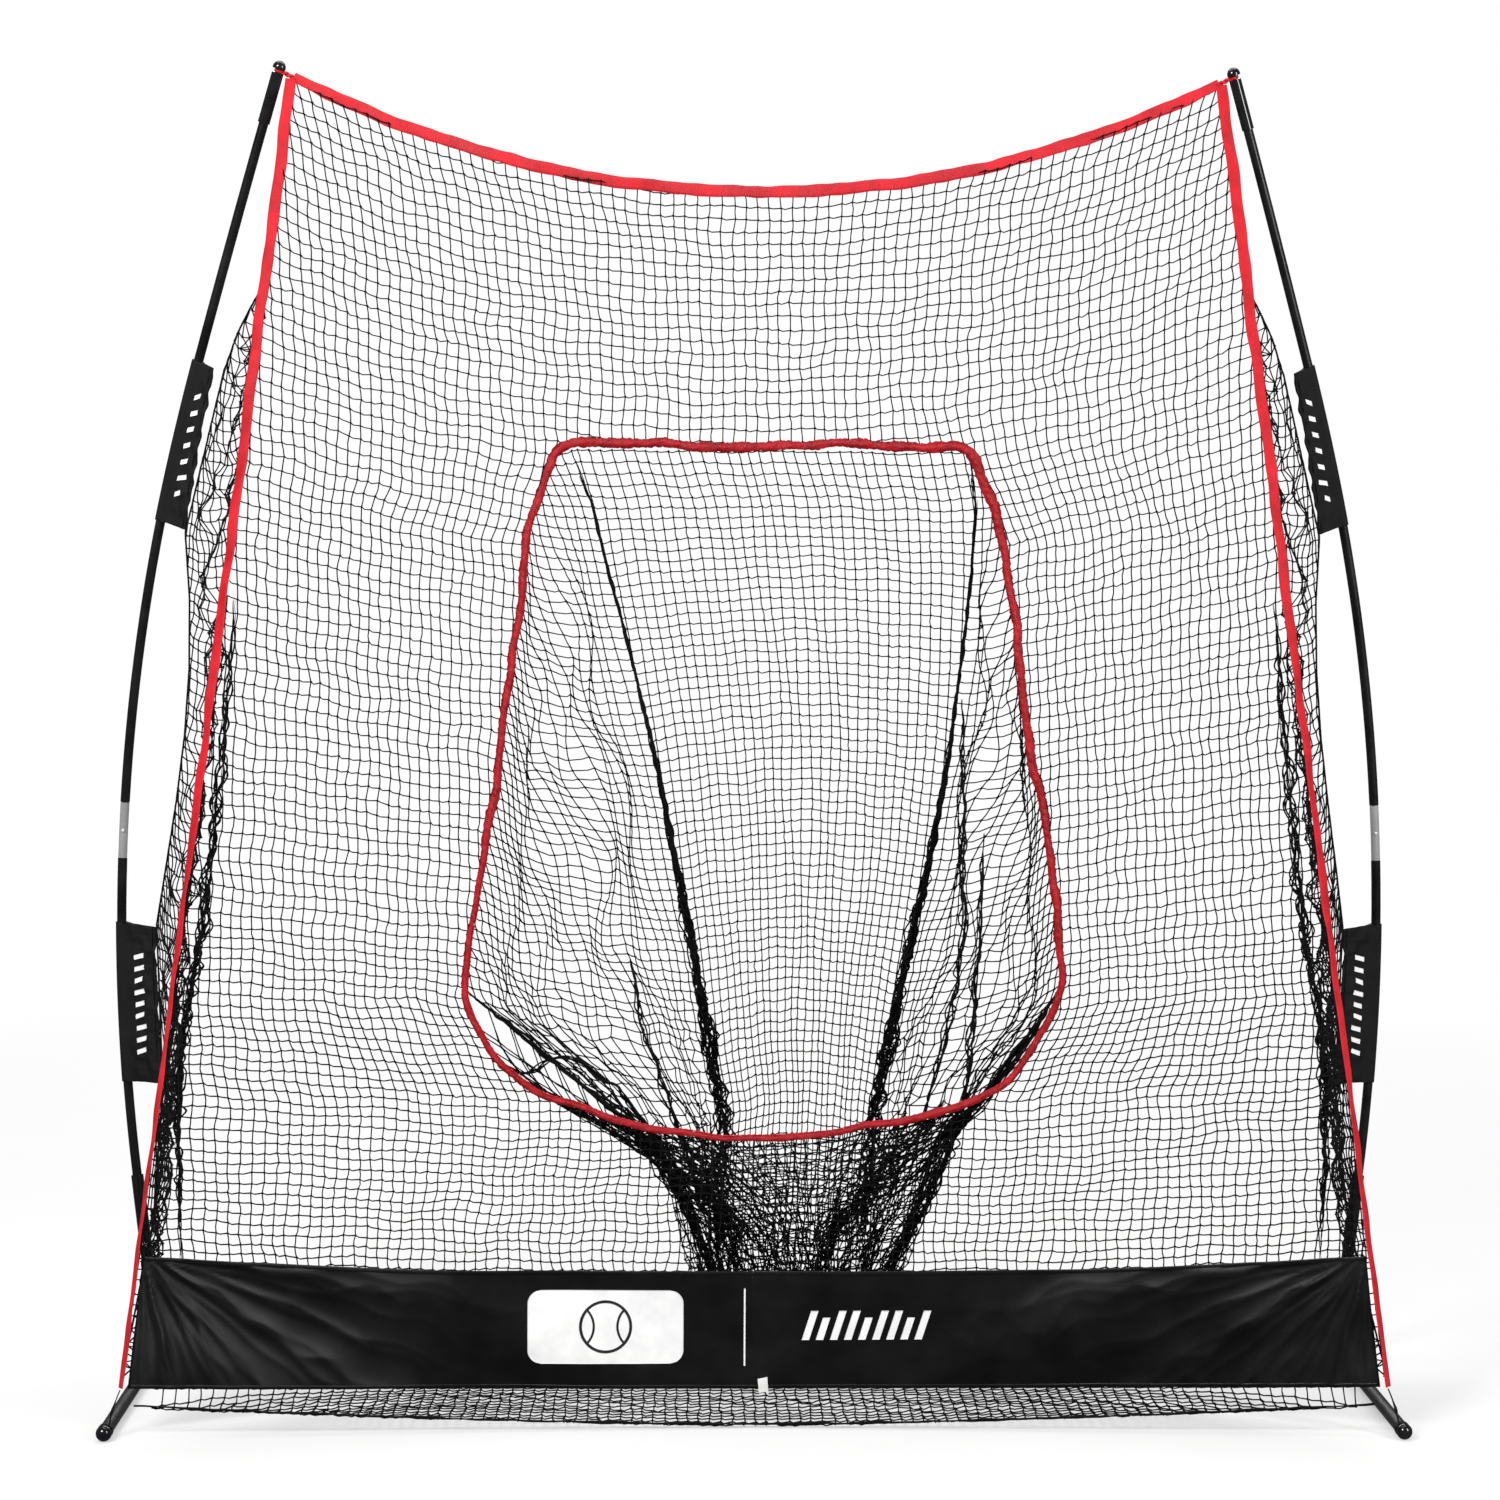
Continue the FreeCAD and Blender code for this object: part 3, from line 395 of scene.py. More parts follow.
red_satin = material("Red satin", (.20, .0010, .004), (.50, .004, .012), (.30, .50),
                     patches=40, grain=700, bump=.4, depth=.0004, pattern=WEAVE, on_uv=True,
                     threads=1400.0, Specular_IOR_Level=.32)
banner_satin = material("Black satin", (.0010, .0010, .0013), (.005, .005, .006), (.30, .44),
                        patches=12, grain=600, bump=.25, depth=.0002, pattern=WEAVE, on_uv=True,
                        threads=1700.0, Specular_IOR_Level=.5)
sleeve_cloth = material("Black sleeve cloth", (.003, .003, .0035), (.010, .010, .011),
                        (.58, .8), patches=18, grain=800, bump=.5, depth=.0004, pattern=WEAVE,
                        on_uv=True, threads=1200.0, Specular_IOR_Level=.3)
black_tape = material("Black woven tape", (.002, .002, .0025), (.009, .009, .010), (.5, .7),
                      patches=18, grain=800, bump=.6, depth=.0005, pattern=RIB, on_uv=True,
                      threads=3600.0, Specular_IOR_Level=.3)
white_print = material("White print", (.80, .80, .80), (.90, .90, .89), (.45, .62),
                       patches=30, grain=500, bump=.2, depth=.0001)
black_print = material("Black print", (.008, .008, .009), (.02, .02, .021), (.4, .6),
                       patches=30, grain=500, bump=.2, depth=.0001)
label_satin = material("White label satin", (.7, .7, .69), (.86, .86, .85), (.4, .6),
                       patches=60, grain=900, bump=.3, depth=.0002, pattern=WEAVE, on_uv=True,
                       threads=2500.0)

HARD = {
    "painted_steel": (powder_coat, ("crossbar_left", "crossbar_right", "leg_left", "leg_right",
                                    "corner_bracket_left", "corner_bracket_right",
                                    "pole_socket_left", "pole_socket_right")),
    "bare_steel": (ferrule_steel, ("ferrule_lower_left", "ferrule_lower_right",
                                   "ferrule_upper_left", "ferrule_upper_right",
                                   "crossbar_coupler")),
    "zinc_steel": (zinc_plate, ("bracket_bolts", "bracket_nuts", "pole_stops")),
    "pad_rubber": (pad_rubber, ("crossbar_pad",)),
    "gloss_cap": (gloss_plastic, ("tip_cap_left", "tip_cap_right", "foot_ball_left",
                                  "foot_ball_right")),
    "wrapped_pole": (pole_wrap, tuple(f"pole_{part}_{name}" for part in
                                      ("lower", "middle", "upper") for name in SIDES)),
    "button_steel": (button_plate, tuple(f"{part}_button_{name}" for part in
                                         ("pole", "leg", "crossbar") for name in SIDES)),
}
for hard_material, hard_nodes in HARD.values():
    for node_name in hard_nodes:
        node_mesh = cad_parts[node_name].data
        node_mesh.materials.clear()
        node_mesh.materials.append(hard_material)

# ---- lines that the cloth hangs from ----

side_low, side_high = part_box("side_binding_right")
HALF_TAPE = 0.0099
STRING_FOOT = np.array([side_high.x - HALF_TAPE, side_low.y + .0016, side_low.z])
STRING_HEAD = np.array([side_low.x + HALF_TAPE, side_high.y - .0016, side_high.z])
HEAD_X, HEAD_Z = 0.790, 2.258
TOP_SAG = 0.190
TOP_RADIUS = (HEAD_X ** 2 + TOP_SAG ** 2) / (2 * TOP_SAG)
TOP_LOW = HEAD_Z - TOP_SAG
FACE_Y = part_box("net_top")[0].y
FLAT_HALF = 0.56


def string_x(z):
    """Distance of a side edge from the middle at height z, along its straight line."""
    t = (z - STRING_FOOT[2]) / (STRING_HEAD[2] - STRING_FOOT[2])
    return mix(STRING_FOOT[0], STRING_HEAD[0], t)


def string_y(z):
    """Depth of a side edge at height z, along its straight line."""
    t = (z - STRING_FOOT[2]) / (STRING_HEAD[2] - STRING_FOOT[2])
    return mix(STRING_FOOT[1], STRING_HEAD[1], t)


def top_rise(x):
    """Height of the top edge over its lowest point: a circle's arc."""
    return TOP_RADIUS - np.sqrt(TOP_RADIUS ** 2 - np.minimum(np.abs(x), .95) ** 2)


def hinge(t, softness=0.18):
    """0 before t = 0 and t after it, with a soft turn between: a hyperbola, 1 at t = 1."""
    return (t + np.sqrt(t * t + softness ** 2)) / (1 + math.sqrt(1 + softness ** 2))


def fold(x, z):
    """How far out of the flat middle a place is, 0 in the middle and 1 on the side edge."""
    return hinge((np.abs(x) - FLAT_HALF) / (string_x(z) - FLAT_HALF))


def face_y(x, z):
    """Depth of the face: flat in the middle, then forward to the side edges."""
    return FACE_Y + (string_y(z) - FACE_Y) * fold(x, z)


def rounded_outline(corners, radii, step=0.004):
    """Closed line of straight runs joined by tangent arcs, as points about a step apart."""
    corners = np.array(corners, float)
    parts = []
    for i, corner in enumerate(corners):
        before, after = unit(corners[i - 1] - corner), unit(corners[(i + 1) % len(corners)] - corner)
        half = math.acos(float(before @ after)) / 2
        reach = radii[i] / math.tan(half)
        centre = corner + unit(before + after) * radii[i] / math.sin(half)
        start, end = corner + before * reach - centre, corner + after * reach - centre
        sweep_angle = math.pi - 2 * half
        count = max(4, int(radii[i] * sweep_angle / step))
        t = np.linspace(0, 1, count)[:, None] * sweep_angle
        arc = (start * np.sin(sweep_angle - t) + end * np.sin(t)) / math.sin(sweep_angle)
        parts.append(centre + arc)
    line = []
    for i, arc in enumerate(parts):
        nxt = parts[(i + 1) % len(parts)][0]
        count = max(2, int(np.linalg.norm(nxt - arc[-1]) / step))
        run = arc[-1] + (nxt - arc[-1]) * np.linspace(0, 1, count, endpoint=False)[1:, None]
        line += [arc, run]
    return np.concatenate(line)


MOUTH_SHIFT = 0.018
MOUTH_HEIGHTS = np.array([1.636, 1.490, .700, .530])
MOUTH_HALVES = np.array([.350, .410, .515, .440])
MOUTH_TOP, MOUTH_CHEEK, MOUTH_BOTTOM = MOUTH_HEIGHTS[0], MOUTH_HEIGHTS[2], .396
down_right, down_left = (np.stack([MOUTH_SHIFT + side * MOUTH_HALVES, MOUTH_HEIGHTS], -1)
                         for side in (1, -1))
mouth = rounded_outline(np.concatenate([down_left[:1], down_right, [[MOUTH_SHIFT, MOUTH_BOTTOM]],
                                        down_left[:0:-1]]),
                        [.040, .040, .600, .160, .200, 1.000, .200, .160, .600])
mouth_run = np.linspace(0, 2 * np.pi, len(mouth), endpoint=False)
mouth_normal = np.roll(mouth, -1, 0) - np.roll(mouth, 1, 0)
mouth_normal = unit(np.stack([-mouth_normal[:, 1], mouth_normal[:, 0]], -1))
sway = sum(np.sin(k * mouth_run + p) * a for k, p, a in
           ((3, .4, .0035), (5, 2.1, .0028), (8, 1.2, .0024), (13, 4.0, .0016), (23, .9, .0013),
            (37, 2.7, .0010)))
mouth = mouth + mouth_normal * sway[:, None]
rim_line = np.stack([mouth[:, 0], face_y(mouth[:, 0], mouth[:, 1])
                     + .003 * np.sin(9 * mouth_run + 1) - .002, mouth[:, 1]], -1)


def rim_half(z):
    """Half-width of the mouth at height z, between the corners of its side."""
    return np.interp(z, MOUTH_HEIGHTS[::-1], MOUTH_HALVES[::-1])


# ---- netting ----

TWINE = 0.0015


def strands(knots, alive):
    """Ends of the strands between neighbouring knots, where either knot is inside the panel."""
    starts = np.concatenate([knots[1:][alive[1:] | alive[:-1]],
                             knots[:, 1:][alive[:, 1:] | alive[:, :-1]]])
    ends = np.concatenate([knots[:-1][alive[1:] | alive[:-1]],
                           knots[:, :-1][alive[:, 1:] | alive[:, :-1]]])
    long_enough = np.linalg.norm(ends - starts, axis=1) > .0025
    return starts[long_enough], ends[long_enough]


def twine(starts, ends, radius, seed):
    """Four-sided tubes of three rings from starts to ends, level ones sagging past their middle."""
    rng = np.random.default_rng(seed)
    along = unit(ends - starts)
    across = np.where(np.abs(along[:, 1:2]) < .8, Y, Z)
    side = unit(np.cross(along, across))
    up = np.cross(side, along)
    stray = rng.normal(0, .0006, (len(starts), 2))
    level = smooth((np.abs(along[:, :1]) - .6) / .3)
    middle = mix(starts, ends, .5 + .17 * level)
    middle = middle + side * stray[:, :1] + up * stray[:, 1:] - Z * (.0004 + .0013 * level)
    rings = np.stack([starts, middle, ends], 1)
    turn = np.pi / 4 + np.arange(4) * np.pi / 2
    around = (np.cos(turn)[:, None] * side[:, None] + np.sin(turn)[:, None] * up[:, None]) * radius
    swell = np.array([1.0, .88, 1.0])[:, None, None]
    points = (rings[:, :, None] + around[:, None] * swell).reshape(-1, 3)
    quads = [(r * 4 + j, r * 4 + (j + 1) % 4, r * 4 + 4 + (j + 1) % 4, r * 4 + 4 + j)
             for r in (0, 1) for j in range(4)] + [(3, 2, 1, 0), (8, 9, 10, 11)]
    faces = (np.arange(len(starts))[:, None, None] * 12 + np.array(quads)).reshape(-1, 4)
    return solid(points, [faces], [np.zeros((len(faces), 4, 2))])


def knot_shapes(places, radius, seed):
    """Eight-sided lumps at the knots, each stretched a little at random."""
    rng = np.random.default_rng(seed)
    reach = radius * rng.uniform(.85, 1.2, (len(places), 3))
    tips = np.array([X, -X, Y, -Y, Z, -Z])
    points = (places[:, None] + tips * reach[:, None]).reshape(-1, 3)
    corners = [(a, b, c) for a in (0, 1) for b in (2, 3) for c in (4, 5)]
    corners = [t if (sum(t) % 2) else (t[0], t[2], t[1]) for t in corners]
    faces = (np.arange(len(places))[:, None, None] * 6 + np.array(corners)).reshape(-1, 3)
    return solid(points, [faces], [np.zeros((len(faces), 3, 2))])


def net_shapes(knots, alive, seed, radius=TWINE, region=None):
    """Twine and knots of a panel, or of the part of it where region(places) is true."""
    starts, ends = strands(knots, alive)
    places = knots[alive]
    if region is not None:
        keep = region((starts + ends) / 2)
        starts, ends, places = starts[keep], ends[keep], places[region(places)]
    return [twine(starts, ends, radius, seed), knot_shapes(places, radius * 1.7, seed + 1)]


def declare_net(made, width, length, held, rests_on):
    """Hands back the net panel as it is; the size it was cut to (width, length) is not used."""
    return made


def columns_at_edge(depth):
    """Columns of mesh between the middle and a side edge, a depth below the top edge."""
    return 39.5 + 3.2 * (1 - np.exp(-depth / .15)) + 7.0 * depth


FACE_ROWS, FACE_COLUMNS = 98, 63  # columns on each side of the middle one
UPPER_ROWS, UPPER_PITCH, LOWER_PITCH, COLUMN_PITCH = 62, .0208, .0176, .0195


def face_lattice():
    """Knots of the face.

    Row r lies a depth below the top edge and keeps less of the edge's sag the deeper it is.
    Column c sits at c / (columns at the edge) of the width, pushed outwards beside the mouth by
    a ridge that is highest on the rim. Both are worked out together by repeated substitution.
    """
    rows, columns = np.arange(0, FACE_ROWS), np.arange(-FACE_COLUMNS, FACE_COLUMNS + 1)
    r, c = np.meshgrid(rows.astype(float), columns.astype(float), indexing="ij")
    depth = np.where(r < UPPER_ROWS, r * UPPER_PITCH,
                     UPPER_ROWS * UPPER_PITCH + (r - UPPER_ROWS) * LOWER_PITCH)
    x, z = c * COLUMN_PITCH, TOP_LOW - .006 - depth
    for _ in range(6):
        keep = np.clip(1 - depth / 1.45, 0, 1) ** 1.35
        z = TOP_LOW - .006 - depth + top_rise(x) * keep
        z = z + .27 * (FACE_Y - face_y(x, z)) * (1 - keep)
        beside = smooth((MOUTH_TOP + .12 - z) / .25) * smooth((z - .24) / .25)
        rim = rim_half(z)
        z = z - .018 * beside * np.exp(-np.clip(np.abs(x - MOUTH_SHIFT) - rim, 0, 1) / .16)
        edge = columns_at_edge(depth)
        pitch = string_x(z) / edge
        at_rim = mix(17.5, 24.0, np.clip((MOUTH_TOP - z) / (MOUTH_TOP - MOUTH_CHEEK), 0, 1))
        lift = (rim + np.sign(c) * MOUTH_SHIFT - at_rim * pitch) * beside
        shape = np.where(np.abs(c) < at_rim, np.abs(c) / at_rim,
                         (edge - np.abs(c)) / (edge - at_rim))
        x = c * pitch + np.sign(c) * lift * np.clip(shape, 0, 1)
    rng = np.random.default_rng(11)
    x = x + .0022 * ripple(21, x * 9, z * 9) + rng.normal(0, .0008, x.shape)
    z = z + .0026 * ripple(22, x * 8, z * 8) + rng.normal(0, .0008, x.shape)
    # behind the banner the net stands back from the cloth
    tucked = smooth((.232 + .088 * fold(x, .25) - z) / .025)
    y = face_y(x, z) + .003 * ripple(23, x * 7, z * 7) * (1 - tucked) + .009 * tucked
    return np.stack([x, y, z], -1)


face_knots = face_lattice()
inner = string_x(face_knots[..., 2]) - .006
top_limit = TOP_LOW + top_rise(face_knots[..., 0]) - .004
alive = (np.abs(face_knots[..., 0]) < inner) & (face_knots[..., 2] < top_limit)
skirt_z = .190 + .088 * fold(face_knots[..., 0], .25)
alive &= face_knots[..., 2] > skirt_z - .004
flat_knots = face_knots[..., [0, 2]].reshape(-1, 2)
near = np.empty(len(flat_knots), int)
for block in range(0, len(flat_knots), 2000):
    gap = flat_knots[block:block + 2000, None] - mouth[None]
    near[block:block + 2000] = np.argmin(np.einsum("ijk,ijk->ij", gap, gap), 1)
outside = np.einsum("ij,ij->i", flat_knots - mouth[near],
                    mouth_normal[near] * np.sign(mouth_normal[0] @ (mouth[0] - [0, 1])))
in_mouth = (outside < .002).reshape(alive.shape)
near = near.reshape(alive.shape)
clamped = face_knots.copy()
over = np.abs(clamped[..., 0]) > inner
clamped[over, 0] = (np.sign(clamped[..., 0]) * inner)[over]
clamped[..., 1] = np.where(over, string_y(clamped[..., 2]), clamped[..., 1])
above = clamped[..., 2] > top_limit
clamped[above, 2] = top_limit[above]
clamped[in_mouth] = rim_line[near[in_mouth]]
alive &= ~in_mouth
TOP_PANEL, LOW_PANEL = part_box("net_top")[0].z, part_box("net_bottom")[1].z
REGIONS = {
    "net_top": lambda p: (np.abs(p[:, 0]) < FLAT_HALF) & (p[:, 2] > TOP_PANEL),
    "net_bottom": lambda p: (np.abs(p[:, 0]) < FLAT_HALF) & (p[:, 2] < LOW_PANEL),
    "net_left": lambda p: (p[:, 0] <= 0) & ~REGIONS["net_top"](p) & ~REGIONS["net_bottom"](p),
    "net_right": lambda p: (p[:, 0] > 0) & ~REGIONS["net_top"](p) & ~REGIONS["net_bottom"](p),
}
FLATS = {"net_top": (1.12, .50), "net_bottom": (1.12, .34), "net_left": (.60, 2.0),
         "net_right": (.60, 2.0)}
for index, (net_name, region) in enumerate(REGIONS.items()):
    net = piece(f"face_{net_name}", net_shapes(clamped, alive, 40 + index * 3, TWINE, region),
                net_twine, (net_name,))
    declare_net(net, *FLATS[net_name], "stretched", ["top_binding", "pocket_rim"])

# ---- side netting, from the side edges back to the sleeves ----


def bow_line(name):
    """Polynomials of a bowed pole's middle line over height, from the poles' own points."""
    co = np.concatenate([np.array([v.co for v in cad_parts[f"pole_{part}_{name}"].data.vertices])
                         for part in ("lower", "middle", "upper")])
    return np.polyfit(co[:, 2], co[:, 0], 5), np.polyfit(co[:, 2], co[:, 1], 5)


BOWS = {name: bow_line(name) for name in SIDES}


def pole_at(name, z):
    """Points on a pole's middle line at heights z."""
    fit_x, fit_y = BOWS[name]
    z = np.asarray(z, float)
    return np.stack([np.polyval(fit_x, z), np.polyval(fit_y, z), z], -1)


def free_edge(z):
    """Back edge of the side netting on the right: string, upper sleeve, drawn in, lower sleeve, string."""
    heights = [.10, .30, .502, .65, .791, .90, 1.02, 1.137, 1.25, 1.37, 1.484, 1.62, 1.760, 1.83,
               1.905]
    string = string_x(np.array(heights)), string_y(np.array(heights))
    share = [0, .60, 1, 1, 1, .80, .64, .58, .63, .78, 1, 1, 1, .55, 0]
    back_x = np.interp(heights, [.502, .791, 1.484, 1.760], [1.048, 1.055, .991, .916])
    back_y = np.interp(heights, [.502, .791, 1.484, 1.760], [-.055, -.068, -.133, -.185])
    xs = mix(string[0], back_x, np.array(share))
    ys = mix(string[1], back_y, np.array(share))
    return np.interp(z, heights, xs), np.interp(z, heights, ys)


WING_PITCH, WING_FULLNESS = .0192, 1.18

for name, side in SIDES.items():
    heights = np.arange(.10, 1.91, WING_PITCH)
    bay = np.arange(0, 26)
    v, i = np.meshgrid(heights, bay.astype(float), indexing="ij")
    edge_x, edge_y = free_edge(v)
    start_x, start_y = string_x(v) - .002, string_y(v) + .006
    width = np.hypot(edge_x - start_x, edge_y - start_y)
    reach = np.minimum(i * WING_PITCH / WING_FULLNESS, width)
    t = reach / np.maximum(width, 1e-6)
    x, y = mix(start_x, edge_x, t), mix(start_y, edge_y, t)
    bunch = np.sin(np.pi * t)
    x = x - .020 * bunch * smooth((1.7 - v) / .5) + .010 * bunch * ripple(61, v * 14, t * 3)
    y = y + .008 * bunch * ripple(62, v * 12, t * 4)
    z = v - .018 * bunch + .003 * ripple(63, v * 20, i * .5)
    wing_knots = np.stack([side * x, y, z], -1)
    wing_alive = i * WING_PITCH / WING_FULLNESS <= width
    shapes = net_shapes(wing_knots, wing_alive, 70 + int(side))
    cord_z = np.linspace(.105, 1.90, 300)
    cord_x, cord_y = free_edge(cord_z)
    cord = np.stack([side * cord_x, cord_y, cord_z + .001 * ripple(64, cord_z * 60)], -1)
    shapes.append(sweep(cord, round_profile(.0017), X))
    wing = piece(f"side_netting_{name}", shapes, net_twine, (f"wing_{name}",))
    declare_net(wing, .36, 1.8, "hung", [f"side_binding_{name}"])

# ---- sack behind the mouth ----

FOOT_SHIFT, FOOT_HALF, FOOT_BACK, FOOT_FRONT, FOOT_Z = .073, .132, .136, -.117, .097
BROW_Z = MOUTH_TOP - .010
NET_PITCH = .0200
# heights, and across and depth of each back seam at them
SEAM_Z = [.097, .260, .433, .539, .721, .909, 1.094, 1.266, 1.417, 1.539, 1.626]
SEAM_Y = [.136, .096, .056, .031, -.012, -.056, -.103, -.147, -.184, -.213, -.236]
SEAM_X = {-1: [-.059, -.050, -.047, -.071, -.101, -.137, -.173, -.213, -.253, -.283, -.316],
          1: [.205, .214, .227, .245, .278, .317, .345, .363, .376, .380, .366]}


def back_seam(v, side):
    """Seam between the sack's back and side, from the brow at v = 0 to the back foot at v = 1."""
    z = mix(BROW_Z, FOOT_Z, v)
    return np.stack([np.interp(z, SEAM_Z, SEAM_X[int(side)]), np.interp(z, SEAM_Z, SEAM_Y), z], -1)


def bend(start, control, end, t):
    """Quadratic curve through start and end, drawn towards a control point."""
    return start * (1 - t) ** 2 + control * 2 * t * (1 - t) + end * t * t


def through(points, t):
    """Smooth curve that passes through points: cubic pieces whose slopes are the chords' means."""
    points = np.array(points, float)
    points = np.concatenate([2 * points[:1] - points[1:2], points, 2 * points[-1:] - points[-2:-1]])
    place = np.clip(t, 0, 1) * (len(points) - 3)
    i = np.minimum(place.astype(int), len(points) - 4)
    f = (place - i)[..., None]
    a, b, c, d = (points[i + k] for k in range(4))
    return b + .5 * f * (c - a + f * (2 * a - 5 * b + 4 * c - d + f * (3 * b - a - 3 * c + d)))


CHEEK_V = .70
FRONT_SEAM = {-1: [(-.335, -.226, .560), (-.192, -.215, .440), (-.128, -.180, .330),
                   (-.082, -.148, .215)],
              1: [(.455, -.226, .590), (.368, -.215, .466), (.312, -.180, .330),
                  (.255, -.148, .215)]}
PULL_SIDE, PULL_MIDDLE = np.array([.12, -.195, .262]), np.array([.10, -.215, .27])


def rim_side(v, side):
    """Point on a side of the rim, v = 0 at the brow and 1 at the cheek."""
    z = mix(MOUTH_TOP - .02, MOUTH_CHEEK, v)
    pick = rim_line[rim_line[:, 0] * side > .2]
    pick = pick[np.argsort(pick[:, 2])]
    return np.stack([np.interp(z, pick[:, 2], pick[:, 0]),
                     np.interp(z, pick[:, 2], pick[:, 1]) + .009, z], -1)


def front_seam(t, side):
    """Seam from the cheek down to the front foot, drawn in under the rim first."""
    start = rim_side(np.array([1.0]), side)[0]
    end = np.array([FOOT_SHIFT + side * FOOT_HALF, FOOT_FRONT, FOOT_Z])
    return through([start, *FRONT_SEAM[int(side)], end], np.asarray(t, float))


def front_line(v, side):
    """Front edge of a side panel: down the rim to the cheek, then down the front seam."""
    on_rim = rim_side(np.clip(v / CHEEK_V, 0, 1), side)
    on_seam = front_seam(np.clip((v - CHEEK_V) / (1 - CHEEK_V), 0, 1), side)
    return np.where((v < CHEEK_V)[..., None], on_rim, on_seam)


rows = np.linspace(0, 1, 80)
v, c = np.meshgrid(rows, np.arange(-18, 19).astype(float), indexing="ij")
edge = mix(17.5, 11.5, v)
u = np.clip(c / edge, -1, 1)
left, right = back_seam(v, -1), back_seam(v, 1)
back = mix(left, right, ((u + 1) / 2)[..., None])
back[..., 1] += .025 * (1 - u * u) * np.sin(np.pi * v) + .008 * ripple(81, u * 2, v * 5)
back[..., 2] += .0025 * ripple(82, u * 3, v * 9) + .026 * (1 - u * u) * smooth(v * 4)
back[..., 0] += .0022 * ripple(83, u * 4, v * 8) * (1 - u * u)
sack_back = piece("sack_netting_back", net_shapes(back, np.abs(c) <= edge, 84),
                  sack_twine, ("sack_back",))
declare_net(sack_back, .70, 1.58, "hung", ["pocket_rim"])

for name, side in SIDES.items():
    v, i = np.meshgrid(np.linspace(0, 1, 82), np.arange(0, 31).astype(float), indexing="ij")
    seam, front = back_seam(v, side), front_line(v, side)
    width = np.linalg.norm(front - seam, axis=-1)
    fullness = 1.15
    widest = np.maximum.accumulate(width, 0)
    reach = i * NET_PITCH / fullness / np.maximum(widest, 1e-6)
    t = np.clip(reach, 0, 1)
    panel = mix(seam, front, t[..., None])
    loose = np.sin(np.pi * t) * smooth(v * 3)
    panel[..., 0] += side * loose * (.020 * np.sin(9 * t + 3 * v) + .014 * ripple(91, t * 5, v * 9)
                                     + .012)
    panel[..., 1] += loose * .014 * ripple(92, t * 6, v * 8)
    panel[..., 2] += loose * (.006 * ripple(93, t * 5, v * 12) - .02)
    slack = np.random.default_rng(90).normal(0, 1, panel.shape) * (smooth((v - .45) / .4)
                                                                   * .0032)[..., None]
    shapes = net_shapes(panel + slack, reach <= 1, 94 + int(side))
    made = piece(f"sack_netting_{name}", shapes, sack_twine, (f"sack_{name}",))
    declare_net(made, .40, 1.65, "hung", ["pocket_rim"])

low_rim = rim_line[rim_line[:, 2] < MOUTH_CHEEK]
low_rim = low_rim[np.argsort(low_rim[:, 0])]
for layer, (low_name, columns) in enumerate((("front", 50), ("front_lining", 38))):
    v, c = np.meshgrid(np.linspace(0, 1, 23), np.linspace(-1, 1, columns), indexing="ij")
    x = mix(low_rim[0, 0], low_rim[-1, 0], (c + 1) / 2)
    start = np.stack([x, np.interp(x, low_rim[:, 0], low_rim[:, 1]) + .009,
                      np.interp(x, low_rim[:, 0], low_rim[:, 2])], -1)
    end = np.stack([FOOT_SHIFT + c * FOOT_HALF, np.full_like(c, FOOT_FRONT),
                    np.full_like(c, FOOT_Z)], -1)
    hug = np.abs(c)[..., None]
    control = mix(PULL_MIDDLE, PULL_SIDE, hug ** 1.5)
    front = bend(start, control, end, v[..., None])
    for side, column in ((-1, 0), (1, -1)):
        beyond = front_seam(v[:, 0], side) - front[:, column]
        front = front + beyond[:, None] * np.where(c[..., None] * side > 0, hug ** 3, 0)
    crease = np.sin(np.pi * np.clip(v, 0, 1)) ** .7
    front[..., 1] += crease * (.016 * np.sin(c * 17 + 2 * v + layer)
                               + .010 * ripple(95 + layer * 7, c * 9, v * 3) + .016 * layer)
    front[..., 0] += crease * (.008 + .006 * layer) * ripple(96 + layer * 7, c * 8, v * 5)
    front[..., 2] += crease * .008 * layer * ripple(97 + layer * 7, c * 12, v * 6)
    sack_front = piece(f"sack_netting_{low_name}",
                       net_shapes(front, np.ones_like(c, bool), 97 + layer), sack_twine,
                       () if layer else ("sack_front",))
    declare_net(sack_front, 1.0, .45, "gathered", ["pocket_rim"])

u, w = np.meshgrid(np.linspace(-1, 1, 16), np.linspace(0, 1, 15), indexing="ij")
base = np.stack([FOOT_SHIFT + u * FOOT_HALF, mix(FOOT_FRONT, FOOT_BACK, w),
                 FOOT_Z - .03 * (1 - u * u) * np.sin(np.pi * w)
                 + .006 * ripple(98, u * 5, w * 5)], -1)
sack_floor = piece("sack_netting_floor", net_shapes(base, np.ones_like(u, bool), 99),
                   sack_twine, ("sack_floor",))
declare_net(sack_floor, .30, .30, "hung", ["sack_netting_back"])


